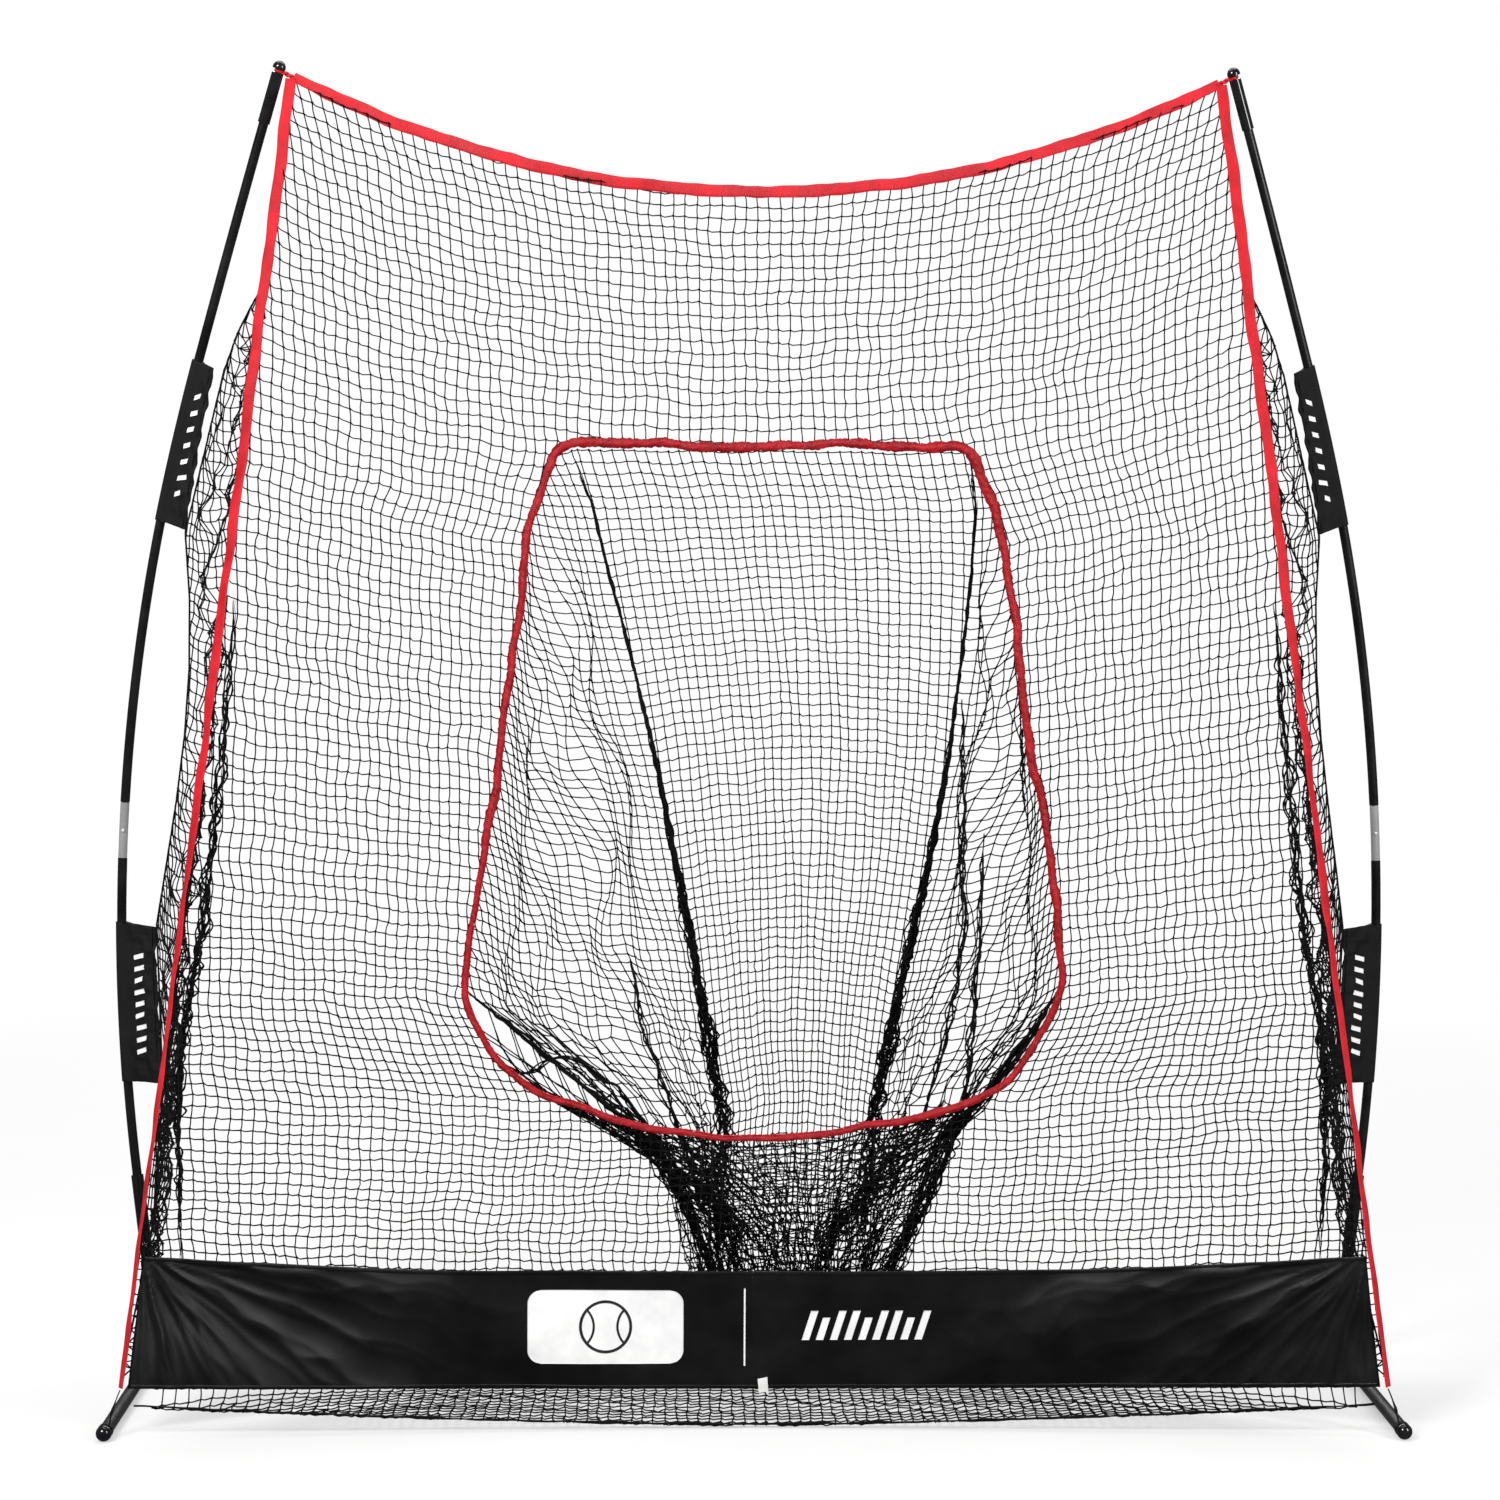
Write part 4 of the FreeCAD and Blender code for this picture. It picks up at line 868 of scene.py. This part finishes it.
def bundle(line, spread, number, seed, radius=TWINE, ragged=0.0):
    """Loose strands bunched along a line: each wanders round it within a spread for each point.

    Each strand starts up to a ragged share of the way along, and thins to nothing at both ends.
    """
    rng = np.random.default_rng(seed)
    run = np.concatenate([[0], np.cumsum(np.linalg.norm(np.diff(line, axis=0), axis=1))])
    t = run / 1.6
    spread = np.broadcast_to(spread, t.shape)
    shapes = []
    for k in range(number):
        first = int(rng.uniform(0, ragged) * len(line)) if k > 2 else 0
        last = len(line) - int(rng.uniform(0, ragged * .5) * len(line)) if k > 2 else len(line)
        part = t[first:last]
        angle = rng.uniform(0, 2 * np.pi) + 2.2 * ripple(seed * 50 + k, part * 16)
        reach = spread[first:last] * (.15 + .85 * np.abs(ripple(seed * 50 + 25 + k, part * 22)))
        stray = np.stack([np.cos(angle) * reach * 1.25, np.sin(angle) * reach,
                          .002 * ripple(seed + k, part * 30)], -1)
        u = np.linspace(0, 1, len(part))
        swell = (1 + .45 * np.maximum(np.sin(part * 200 + k), 0) ** 6) * (
            .25 + .75 * smooth(u * 12) * smooth((1 - u) * 12))
        shapes.append(sweep(line[first:last] + stray,
                            round_profile(radius, 5) * swell[:, None, None], X))
    return shapes


FOLDS = {"left": (((-.215, -.190, .745), (-.199, -.180, .661), (-.180, -.175, .585),
                   (-.153, -.170, .508), (-.118, -.150, .400), (-.085, -.135, .270)),
                  ((-.430, -.228, .560), (-.388, -.222, .552), (-.345, -.217, .575),
                   (-.305, -.212, .572), (-.262, -.208, .535), (-.232, -.205, .519),
                   (-.175, -.180, .430), (-.115, -.150, .310))),
         "right": (((.360, -.190, 1.200), (.365, -.180, 1.082), (.366, -.175, .919),
                    (.367, -.170, .785), (.346, -.170, .655), (.312, -.160, .496),
                    (.270, -.140, .330)),
                   ((.401, -.195, .966), (.395, -.190, .798), (.384, -.190, .640),
                    (.372, -.188, .518), (.330, -.170, .400)))}
DRAPES = {"left": ((-.128, -.165, .440), (-.100, -.155, .380), (-.050, -.140, .280),
                   (-.025, -.125, .160)),
          "right": ((.335, -.190, .500), (.275, -.175, .420), (.200, -.155, .330),
                    (.140, -.135, .240), (.120, -.125, .140))}
for name, side in SIDES.items():
    t = np.linspace(0, 1, 300)
    spread = .0020 + .0100 * smooth((t - .25) / .6) + .008 * smooth((t - .72) / .2)
    shapes = bundle(back_seam(t, side), spread, 22, 101, ragged=.6)
    shapes += bundle(front_seam(t, side), .003 + .008 * t, 10, 102, ragged=.4)
    u = np.linspace(0, 1, 150)
    for k, fold_points in enumerate(FOLDS[name]):
        shapes += bundle(through(fold_points, u), .0014 + .0050 * np.sin(np.pi * u), 5, 103 + k,
                         ragged=.5)
    shapes += bundle(through(DRAPES[name], u), .006 + .016 * np.sin(np.pi * u), 18, 108, ragged=.6)
    piece(f"sack_seam_{name}", shapes, sack_twine)

GATHER = ((.884, -.300, 1.370), (.898, -.300, 1.200), (.916, -.300, 1.030), (.940, -.300, .825),
          (.975, -.300, .631), (.984, -.300, .459), (.979, -.300, .215))
for name, side in SIDES.items():
    u = np.linspace(0, 1, 330)
    line = through(GATHER, u) * [side, 1, 1]
    spread = .0015 + .0075 * np.sin(np.pi * np.clip(u * .9 + .05, 0, 1)) ** 1.2
    piece(f"side_netting_gather_{name}", bundle(line, spread, 16, 171, ragged=.7), net_twine)

# ---- red rim of the mouth ----

ring = np.linspace(0, 2 * np.pi, 18, endpoint=False)
fine = 1400
spot = np.linspace(0, len(rim_line), fine, endpoint=False)
closed = np.concatenate([rim_line, rim_line[:1]])
rim_path = np.stack([np.interp(spot, np.arange(len(closed)), closed[:, k]) for k in range(3)], -1)
turn_at = spot / len(rim_line) * 2 * np.pi
s, a = np.meshgrid(turn_at, ring, indexing="ij")
pucker = (.04 * np.sin(s * 190 + 2.2 * np.sin(a + s * 7)) + .12 * ripple(111, s * 9, np.cos(a) * 1.3)
          + .15 * ripple(112, s * 55, a * 1.0) + .09 * ripple(113, s * 130, a * 1.6))
swelling = 1 + .14 * np.sin(s * 5 + 1) * np.sin(s * 11) + .20 * np.sin(s + .6)
radius = .0062 * swelling * (1 + pucker)
rim_profile = np.stack([np.cos(a) * radius, np.sin(a) * radius * 1.05], -1)
rim = piece("pocket_rim_satin", [sweep(rim_path, rim_profile, Y, loop=True)], red_satin,
            ("pocket_rim",))
piece("pocket_rim_stitching",
      [sweep(rim_path + np.stack([mouth_normal[np.minimum(spot.astype(int), len(mouth) - 1), 0],
                                  np.zeros(fine),
                                  mouth_normal[np.minimum(spot.astype(int), len(mouth) - 1), 1]],
                                 -1) * .0056 * np.sign(mouth_normal[0] @ (mouth[0] - [0, 1])) * -1,
             round_profile(.0011, 6) * (1 + .5 * np.sin(turn_at * 380))[:, None, None], Y,
             loop=True)], red_tape)

# ---- red bindings and corner loops ----

x = np.linspace(-.786, .786, 620)
z = TOP_LOW + top_rise(x) + .0012 * ripple(121, x * 12) - .001
path = np.stack([x, np.full_like(x, FACE_Y - .0028) + .002 * ripple(122, x * 10), z], -1)
pinch = 1 - .22 * smooth((np.abs(x) - .72) / .06)
profile = flat_profile(.0205, .0034)[None] * (pinch * (1 + .05 * ripple(123, x * 25)))[:, None, None]
edge_pucker = 1 + .10 * np.sin(x * 420 + 2 * ripple(124, x * 9))
profile = profile * np.stack([np.ones_like(x), edge_pucker], -1)[:, None]
profile = turned(profile, .07 * ripple(125, x * 8))
top_tape = piece("top_binding_tape", [sweep(path, profile, Z)], red_tape,
                 ("top_binding",))


def stitch_row(path, across, offset, depth, pitch=.0042):
    """Short raised stitches along a path, offset sideways and lifted off the tape's face."""
    steps = np.linalg.norm(np.diff(path, axis=0), axis=1)
    run = np.concatenate([[0], np.cumsum(steps)])
    places = np.arange(pitch, run[-1] - pitch, pitch)
    at = np.stack([np.interp(places, run, path[:, k]) for k in range(3)], -1)
    ahead = np.stack([np.interp(places + .0024, run, path[:, k]) for k in range(3)], -1)
    tangent = unit(ahead - at)
    up = unit(across - tangent * (tangent @ across)[:, None])
    out = np.cross(tangent, up)
    out *= np.sign(-out[:, 1:2])
    shift = up * offset + out * depth
    return twine(at + shift, ahead + shift, .00042, 5)


piece("top_binding_stitches", [stitch_row(path, Z, -.0072, .0019)], red_tape)

for name, side in SIDES.items():
    z = np.linspace(STRING_FOOT[2] - .006, STRING_HEAD[2] + .012, 720)
    path = np.stack([side * string_x(z), string_y(z), z], -1)
    path[:, 0] += .0012 * ripple(131, z * 9)
    down = (STRING_HEAD[2] - z) / (STRING_HEAD[2] - STRING_FOOT[2])
    profile = flat_profile(.0195, .0032)[None] * (1 + .05 * ripple(132, z * 25))[:, None, None]
    twist = side * (.10 + .95 * smooth(down * 1.15)) + .14 * ripple(133, z * 6)
    tape = piece(f"side_binding_tape_{name}", [sweep(path, turned(profile, twist), X)], red_tape,
                 (f"side_binding_{name}",))

    # loop round the neck of the cap, and its twisted tail to the corner of the net
    neck = np.array([side * .8118, -.2497, 2.2650])
    axis = unit(np.array([-side * .300, -.197, .933]))
    first = unit(np.cross(axis, Y))
    second = np.cross(axis, first)
    t = np.linspace(0, 2 * np.pi, 72, endpoint=False)
    hoop = neck + (first * np.cos(t)[:, None] + second * np.sin(t)[:, None]) * .0069
    loops = [sweep(hoop, flat_profile(.0048, .0016, 12), axis, loop=True)]
    head = np.array([side * HEAD_X, -.2497, HEAD_Z])
    tail = mix(neck + unit(head - neck) * .0062, head + np.array([-side * .006, 0, -.006]),
               np.linspace(0, 1, 60)[:, None])
    turn = np.linspace(0, 2.6 * np.pi, 60)
    for phase in (0, np.pi):
        coil = tail + .0022 * (Z * np.cos(turn + phase)[:, None] + Y * np.sin(turn + phase)[:, None])
        loops.append(sweep(coil, round_profile(.0024, 10), Y))
    piece(f"corner_loop_tape_{name}", loops, red_tape, (f"corner_loop_{name}",))

# ---- banner ----

BANNER_TOP_X, BANNER_LOW_X = 1.010, 1.031


def banner_plain(s, t):
    """Cloth before its wrinkles: s from -1 to 1 across, t from 0 at the top to 1 at the foot."""
    x = s * mix(BANNER_TOP_X, BANNER_LOW_X, t)
    out = fold(x, .18)
    z = mix(.2085 + .088 * out, .0045 + .077 * out, t)
    return np.stack([x, face_y(x, z) - .0045, z], -1)


def banner_wrinkle(s, t):
    """Depth of the wrinkles: creases that fan from the top corners, and long shallow drapes."""
    plain = banner_plain(s, t)
    x, z = plain[..., 0], plain[..., 2]
    depth = 0.0
    for side in (-1, 1):
        dx, dz = BANNER_TOP_X - side * x, .303 - z
        r = np.hypot(dx, dz)
        angle = np.arctan2(dz, dx)
        for k, (beat, phase, size, fade) in enumerate(((17, .3, .0042, .45), (29, 1.9, .0026, .55),
                                                       (44, 4.2, .0014, .70))):
            wave = 1 - np.abs(np.sin(beat * angle / 2 + phase + .5 * ripple(141 + k, r * 9)))
            depth = depth + size * (wave ** 1.7 - .35) * np.exp(-r / fade) * smooth(r / .10)
    slant = x * .55 - z * np.sign(x + 1e-6)
    depth = depth + .0021 * ripple(145, slant * 34, z * 9, waves=5, low=.6, high=1.6)
    depth = depth + .0012 * ripple(146, x * 16, z * 26, waves=7, low=.7, high=2.2)
    depth = depth + .0016 * smooth((t - .6) / .4) * ripple(147, x * 40, waves=4, low=.6, high=1.4)
    return 1.5 * depth


def banner_at(s, t, lift=0.0):
    """Wrinkled cloth, lifted off towards the front."""
    place = banner_plain(s, t)
    place[..., 1] -= banner_wrinkle(s, t) + lift
    return place


t, s = np.meshgrid(np.linspace(0, 1, 56), np.linspace(-1, 1, 620), indexing="ij")
banner = piece("banner_satin", [sheet_of(banner_at(s, t), .0009, (.21, 2.28))], banner_satin,
               ("banner",))
hem_shapes = []
for t_line, size in ((.985, .0012), (.012, .0014)):
    s_line = np.linspace(-.999, .999, 700)
    line = banner_at(s_line, np.full_like(s_line, t_line), .0002)
    hem_shapes.append(sweep(line, flat_profile(.007 if t_line > .5 else .008, .0022, 12), Z))
piece("banner_hems", hem_shapes, banner_satin)


def printed(name, s_grid, t_grid, lift, print_material, thickness=.0003):
    """Thin print on the banner, following its wrinkles."""
    shape = sheet_of(banner_at(s_grid, t_grid, lift), thickness, (.1, .1))
    return piece(name, [shape], print_material)


def banner_patch(x0, x1, z0, z1, slant=0.0, round_corner=0.0, fine=(26, 40)):
    """Grid in (s, t) of an upright patch between x0, x1 and heights z0, z1 on the banner."""
    b, a = np.meshgrid(np.linspace(0, 1, fine[0]), np.linspace(0, 1, fine[1]), indexing="ij")
    z = mix(z0, z1, b)
    inset = 0.0
    if round_corner:
        gap = np.minimum(z - z0, z1 - z)
        inside = np.clip(1 - gap / round_corner, 0, 1)
        inset = round_corner * (1 - np.sqrt(1 - inside ** 2))
    x = mix(x0 + inset, x1 - inset, a) + slant * (z - z0)
    t_grid = (.2085 - z) / (.2085 - .0045)
    return x / mix(BANNER_TOP_X, BANNER_LOW_X, t_grid), t_grid


def disc_patch(cx, cz, r0, r1, start=0.0, stop=2 * np.pi, fine=(4, 90)):
    """Grid in (s, t) of a ring or arc of radii r0 to r1 about a middle on the banner."""
    b, a = np.meshgrid(np.linspace(0, 1, fine[0]), np.linspace(0, 1, fine[1]), indexing="ij")
    r, turn = mix(r0, r1, b), mix(start, stop, a)
    x, z = cx + r * np.cos(turn), cz + r * np.sin(turn)
    t_grid = (.2085 - z) / (.2085 - .0045)
    return x / mix(BANNER_TOP_X, BANNER_LOW_X, t_grid), t_grid


printed("banner_print_panel", *banner_patch(-.390, -.120, .048, .176, round_corner=.024,
                                            fine=(60, 90)), .0009, white_print)
BALL_X, BALL_Z, BALL_R = -.255, .112, .046
printed("banner_print_ball_outline", *disc_patch(BALL_X, BALL_Z, BALL_R - .005, BALL_R), .0013,
        black_print)
for index, (offset, middle) in enumerate(((-.062, 0.0), (.062, np.pi))):
    printed(f"banner_print_ball_seam_{index}",
            *disc_patch(BALL_X + offset, BALL_Z, .0395, .0435, middle - .83, middle + .83,
                        (3, 40)), .0013, black_print)
printed("banner_print_line", *banner_patch(-.0155, -.0125, .044, .180, fine=(60, 4)), .0010,
        white_print)
for index in range(9):
    x0 = .085 + index * .0245
    high = .140 - (.012 if index % 3 == 1 else 0)
    printed(f"banner_print_bar_{index}",
            *banner_patch(x0, x0 + .013, .089, high, slant=.32, fine=(20, 8)), .0010, white_print)

# ---- strip of netting on the floor, its hem, and the label ----

HEM_HALF, HEM_END, HEM_MIDDLE = 1.022, -.553, -.497


def hem_y(x):
    """Depth of the hem's middle line, furthest forward at its ends."""
    return HEM_MIDDLE + (HEM_END - HEM_MIDDLE) * np.abs(x / HEM_HALF) ** 1.2


def hem_z(x):
    """Height of the hem: on the floor, and up to the net's corners at its two ends."""
    return .0016 + .0465 * np.minimum(np.abs(x) / HEM_HALF, 1) ** 1.45


c, j = np.meshgrid(np.arange(-53, 54).astype(float), np.arange(0, 16).astype(float), indexing="ij")
x = c * .0188 + .002 * ripple(151, c * .3, j * .4)
s = np.clip(x / BANNER_LOW_X, -1, 1)
start = banner_plain(s, np.ones_like(s))
end = np.stack([np.clip(x, -HEM_HALF + .004, HEM_HALF - .004), hem_y(x) + .004,
                hem_z(x)], -1)
length = np.linalg.norm(end - start, axis=-1)
reach = np.minimum(j * .0185, length)
t = (reach / np.maximum(length, 1e-6))[..., None]
strip = mix(start, end, t)
strip[..., 2] = start[..., 2] * (1 - t[..., 0]) ** 1.7 + hem_z(x) * t[..., 0] + .001 + .0016 * (
    1 + ripple(152, x * 22, j * .5)) * np.sin(np.pi * t[..., 0])
floor_strip = piece("floor_netting", net_shapes(strip, (j * .0185 <= length) & (np.abs(x) < .995),
                                                153), net_twine, ("floor_net",))
declare_net(floor_strip, 2.0, .22, "laid", ["bottom_hem"])

x = np.linspace(-HEM_HALF, HEM_HALF, 560)
path = np.stack([x, hem_y(x), hem_z(x) + .0028 + .0007 * (1 + ripple(154, x * 22))], -1)
profile = turned(flat_profile(.0145, .0024)[None] * np.ones((560, 1, 1)),
                 -.42 + .12 * ripple(155, x * 25))
hem = piece("bottom_hem_tape", [sweep(path, profile, Y)], black_tape,
            ("bottom_hem",))

low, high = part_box("care_label")
middle = (low.x + high.x) / 2
v, u = np.meshgrid(np.linspace(0, 1, 30), np.linspace(-1, 1, 12), indexing="ij")
label_y = mix(-.2525, -.296, smooth(v) * .9 + v * .1)
label = np.stack([middle + u * .0085 + .002 * v, label_y,
                  .0035 + .028 * (1 - v) ** 1.6 + .0012 * np.sin(v * 9) * u], -1)
care_label = piece("care_label_satin", [sheet_of(label, .0005, (.036, .017))], label_satin,
                   ("care_label",))

# ---- sleeves round the poles ----

REACH_TURN = math.radians(37)
SLEEVE_ROWS = 90


def sleeve_place(name, z, a, b):
    """Point in a sleeve: z up the pole, a out along its flap, b square to the flap."""
    side = SIDES[name]
    path = pole_at(name, z)
    tangent = unit(pole_at(name, z + .002) - pole_at(name, z - .002))
    reach = np.array([-side * math.cos(REACH_TURN), -math.sin(REACH_TURN), 0])
    across = unit(reach - tangent * np.sum(reach * tangent, -1, keepdims=True))
    square = np.cross(tangent, across)
    square = square * np.sign(-square[..., 1:2])
    return path + across * a[..., None] + square * b[..., None]


def flap_thickness(a):
    """Half-thickness of the flap: thick beside the pole, two layers of cloth further out."""
    return .0017 + .0078 * np.exp(-np.clip(a - .0062, 0, 1) / .0075)


def sleeve(name, part, z0, z1, width_top, width_low):
    """Cloth sleeve: a drop-shaped section, its tip the sewn flap, carried up the pole."""
    z = np.linspace(z0, z1, SLEEVE_ROWS)
    t = (z - z0) / (z1 - z0)
    width = mix(width_low, width_top, t)
    hook = np.linspace(0, 1, 26)
    arc = np.linspace(np.radians(52), np.radians(308), 22)[1:-1]
    wall = .0108
    start = wall * math.cos(math.radians(52))
    out = np.concatenate([np.linspace(1, 0, 26), np.zeros(20), hook])
    a = np.concatenate([np.zeros(26), wall * np.cos(arc), np.zeros(26)])[None] \
        + np.where(np.r_[np.ones(26), np.zeros(20), np.ones(26)] > 0,
                   start + out[None] * (width[:, None] - start), 0)
    upper = flap_thickness(a)
    b = np.concatenate([np.ones(26), np.zeros(20), -np.ones(26)])[None] * upper \
        + np.concatenate([np.zeros(26), wall * np.sin(arc), np.zeros(26)])[None]
    loose = np.clip((a - .012) / .03, 0, 1)
    zz = np.broadcast_to(z[:, None], a.shape)
    seed = 161 if part == "lower" else 165
    b = b + loose * (.0020 * ripple(seed, zz * 26, a * 30) + .0009 * ripple(seed + 1, zz * 90, a * 60))
    points = sleeve_place(name, zz, a, b)
    rows, columns = a.shape
    quads, places = grid_faces(rows, columns, wrap=True)
    uv = np.stack([places[..., 0] * (z1 - z0) / rows, places[..., 1] * .0028], -1)
    points = points.reshape(-1, 3)
    ends = np.stack([points[:columns].mean(0), points[-columns:].mean(0)])
    ring = np.arange(columns)
    last = (rows - 1) * columns
    fans = np.concatenate([
        np.stack([ring, (ring + 1) % columns, np.full(columns, rows * columns)], 1),
        np.stack([last + (ring + 1) % columns, last + ring,
                  np.full(columns, rows * columns + 1)], 1)])
    shape = solid(np.concatenate([points, ends]), [quads, fans],
                  [uv, np.zeros(fans.shape + (2,))])
    made = piece(f"sleeve_cloth_{part}_{name}", [shape], sleeve_cloth,
                 (f"sleeve_{part}_{name}",))
    # seam cord and a row of slanted bars, plain, down the front of the flap
    seam_z = np.linspace(z0 + .003, z1 - .003, 160)
    seam_a = mix(width_low, width_top, (seam_z - z0) / (z1 - z0)) - .006
    seam = sleeve_place(name, seam_z, seam_a, np.full_like(seam_z, .0024))
    piece(f"sleeve_seam_{part}_{name}", [sweep(seam, round_profile(.0009, 6), X)], black_tape)
    bars = []
    number = 9 if part == "lower" else 7
    for k in range(number):
        middle = z0 + (z1 - z0) * (.20 + .60 * k / (number - 1))
        wide = mix(width_low, width_top, (middle - z0) / (z1 - z0))
        p, q = np.meshgrid(np.linspace(0, 1, 6), np.linspace(0, 1, 12), indexing="ij")
        bar_a = mix(wide * .38, wide * .38 + wide * (.30 if k % 3 else .24), q)
        bar_z = middle + (p - .5) * .0085 + (q - .5) * .007
        thick = flap_thickness(bar_a)
        bulge = np.clip((bar_a - .012) / .03, 0, 1) * (
            .0020 * ripple(seed, bar_z * 26, bar_a * 30)
            + .0009 * ripple(seed + 1, bar_z * 90, bar_a * 60))
        bars.append(sheet_of(sleeve_place(name, bar_z, bar_a, thick + bulge + .0006), .0003,
                             (.01, .02)))
    piece(f"sleeve_print_{part}_{name}", bars, white_print)


for name in SIDES:
    sleeve(name, "lower", .5025, .7905, .084, .086)
    sleeve(name, "upper", 1.5060, 1.7810, .040, .062)

# ---- straps at the feet ----

for name, side in SIDES.items():
    leg_x, leg_z = side * 1.067, .013
    t = np.linspace(0, 2 * np.pi, 90, endpoint=False)
    ring_path = np.stack([leg_x + np.cos(t) * .01215, np.full_like(t, -.5645),
                          leg_z + np.sin(t) * .01215], -1)
    shapes = [sweep(ring_path, flat_profile(.0115, .0014, 14), Y, loop=True)]
    root = np.array([leg_x - side * .0065, -.5640, leg_z + .0105])
    top = np.array([side * (STRING_FOOT[0] + .0015), STRING_FOOT[1], STRING_FOOT[2] - .010])
    t = np.linspace(0, 1, 60)
    riser = mix(root, top, t[:, None])
    riser[:, 0] += side * .002 * np.sin(np.pi * t)
    bulk = 1 + 1.1 * np.exp(-((t - .42) / .16) ** 2)
    wide = np.stack([np.ones_like(t), bulk], -1)[:, None]
    shapes.append(sweep(riser, flat_profile(.0115, .0017, 14)[None] * wide, Y))
    bump = mix(root, top, np.linspace(.26, .58, 24)[:, None]) + np.array([side * .0022, -.0012, 0])
    swell = (.4 + np.sin(np.pi * np.linspace(.04, .96, 24)))[:, None, None]
    shapes.append(sweep(bump, flat_profile(.0100, .0030, 14)[None] * swell, Y))
    piece(f"foot_strap_tape_{name}", shapes, black_tape, (f"foot_strap_{name}",))

# ---- floor, light and camera ----


def stage_floor():
    """Round pale floor that fades to white far from the object."""
    turn = np.linspace(0, 2 * np.pi, 96, endpoint=False)
    radii = np.array([.5, 2, 4, 8, 16, 40])
    rings = np.stack([np.cos(turn), np.sin(turn)], -1)[None] * radii[:, None, None]
    points = np.concatenate([rings.reshape(-1, 2), [[0, 0]]])
    points = np.concatenate([points, np.full((len(points), 1), -.0004)], 1)
    quads = grid_faces(len(radii), 96, wrap=True)[0]
    hub = np.stack([np.arange(96), (np.arange(96) + 1) % 96, np.full(96, len(points) - 1)], 1)
    mesh = bpy.data.meshes.new("stage_floor")
    mesh.from_pydata(points.tolist(), [], quads.tolist() + hub[:, ::-1].tolist())
    mesh.update()
    made = bpy.data.materials.new("Pale floor")
    made.use_nodes = True
    nodes = made.node_tree.nodes
    tree = Tree(made.node_tree)
    shader = nodes["Principled BSDF"]
    shader.inputs["Roughness"].default_value = .75
    shader.inputs["Specular IOR Level"].default_value = .2
    place = tree.add("ShaderNodeTexCoord").outputs["Object"]
    grain = tree.add("ShaderNodeTexNoise", {"Vector": place, "Scale": 3.0, "Detail": 5.0})
    made.node_tree.links.new(tree.tint(grain.outputs[0], (.86, .86, .855), (.90, .90, .895)),
                             shader.inputs["Base Color"])
    distance = tree.add("ShaderNodeVectorMath", {0: place}, operation="LENGTH").outputs["Value"]
    fade = tree.span(distance, .45, 1, 1.2, 5.0)
    white = tree.add("ShaderNodeEmission", {"Color": (1, 1, 1, 1), "Strength": 1.0})
    pale = tree.add("ShaderNodeMixShader", {0: fade, 1: shader.outputs[0], 2: white.outputs[0]})
    # gloss on black pieces mirrors a dim floor
    dull = tree.add("ShaderNodeEmission", {"Color": (1, 1, 1, 1), "Strength": .08})
    gloss = tree.add("ShaderNodeLightPath").outputs["Is Glossy Ray"]
    blend = tree.add("ShaderNodeMixShader", {0: gloss, 1: pale.outputs[0], 2: dull.outputs[0]})
    made.node_tree.links.new(blend.outputs[0], nodes["Material Output"].inputs["Surface"])
    mesh.materials.append(made)
    floor = bpy.data.objects.new("stage_floor", mesh)
    bpy.context.scene.collection.objects.link(floor)


def studio_light(name, place, aim, size, power):
    """Large square area light at a place, turned to an aim."""
    light = bpy.data.lights.new(name, "AREA")
    light.shape, light.size, light.energy = "RECTANGLE", size[0], power
    light.size_y = size[1]
    made = bpy.data.objects.new(name, light)
    made.location = place
    made.rotation_euler = (Vector(aim) - Vector(place)).to_track_quat("-Z", "Y").to_euler()
    bpy.context.scene.collection.objects.link(made)


stage_floor()
studio_light("key_light", (-2.8, -4.2, 4.2), (0, 0, 1.0), (1.8, 1.8), 260)
studio_light("fill_light", (3.6, -3.2, 2.6), (0, 0, 1.0), (1.0, 2.6), 110)
studio_light("top_light", (0, .6, 4.8), (0, 0, .8), (4.0, 2.0), 60)
studio_light("back_light", (0, 4.4, 3.0), (0, 0, 1.0), (4.0, 2.0), 70)

world = bpy.data.worlds.new("Studio")
world.use_nodes = True
bpy.context.scene.world = world
world_tree = Tree(world.node_tree)
background = world.node_tree.nodes["Background"]
background.inputs["Strength"].default_value = .46
seen = world_tree.add("ShaderNodeBackground", {"Color": (1, 1, 1, 1), "Strength": 1.0})
background.inputs["Color"].default_value = (1, 1, 1, 1)
# black cloth keeps its depth: its gloss mirrors a dim room, not the bright backdrop
dim = world_tree.add("ShaderNodeBackground", {"Color": (1, 1, 1, 1), "Strength": .10})
ray = world_tree.add("ShaderNodeLightPath").outputs
glossed = world_tree.add("ShaderNodeMixShader", {0: ray["Is Glossy Ray"], 1: background.outputs[0],
                                                 2: dim.outputs[0]})
chooser = world_tree.add("ShaderNodeMixShader", {0: ray["Is Camera Ray"], 1: glossed.outputs[0],
                                                 2: seen.outputs[0]})
world.node_tree.links.new(chooser.outputs[0], world.node_tree.nodes["World Output"].inputs[0])
bpy.context.scene.view_settings.view_transform = "Standard"

EYE = Vector((-.132, -6.014, 1.454))
PITCH_DOWN, YAW, ROLL = 3.366, -1.226, .236
LENS, SENSOR = 80.64, 36.0  # millimetres
camera_data = bpy.data.cameras.new("camera")
camera_data.sensor_width = SENSOR
camera_data.lens = LENS
camera_data.clip_end = 200
camera = bpy.data.objects.new("camera", camera_data)
camera.matrix_world = (Matrix.Translation(EYE) @ Matrix.Rotation(math.radians(YAW), 4, "Z")
                       @ Matrix.Rotation(math.radians(90 - PITCH_DOWN), 4, "X")
                       @ Matrix.Rotation(math.radians(ROLL), 4, "Z"))
bpy.context.scene.collection.objects.link(camera)
bpy.context.scene.camera = camera
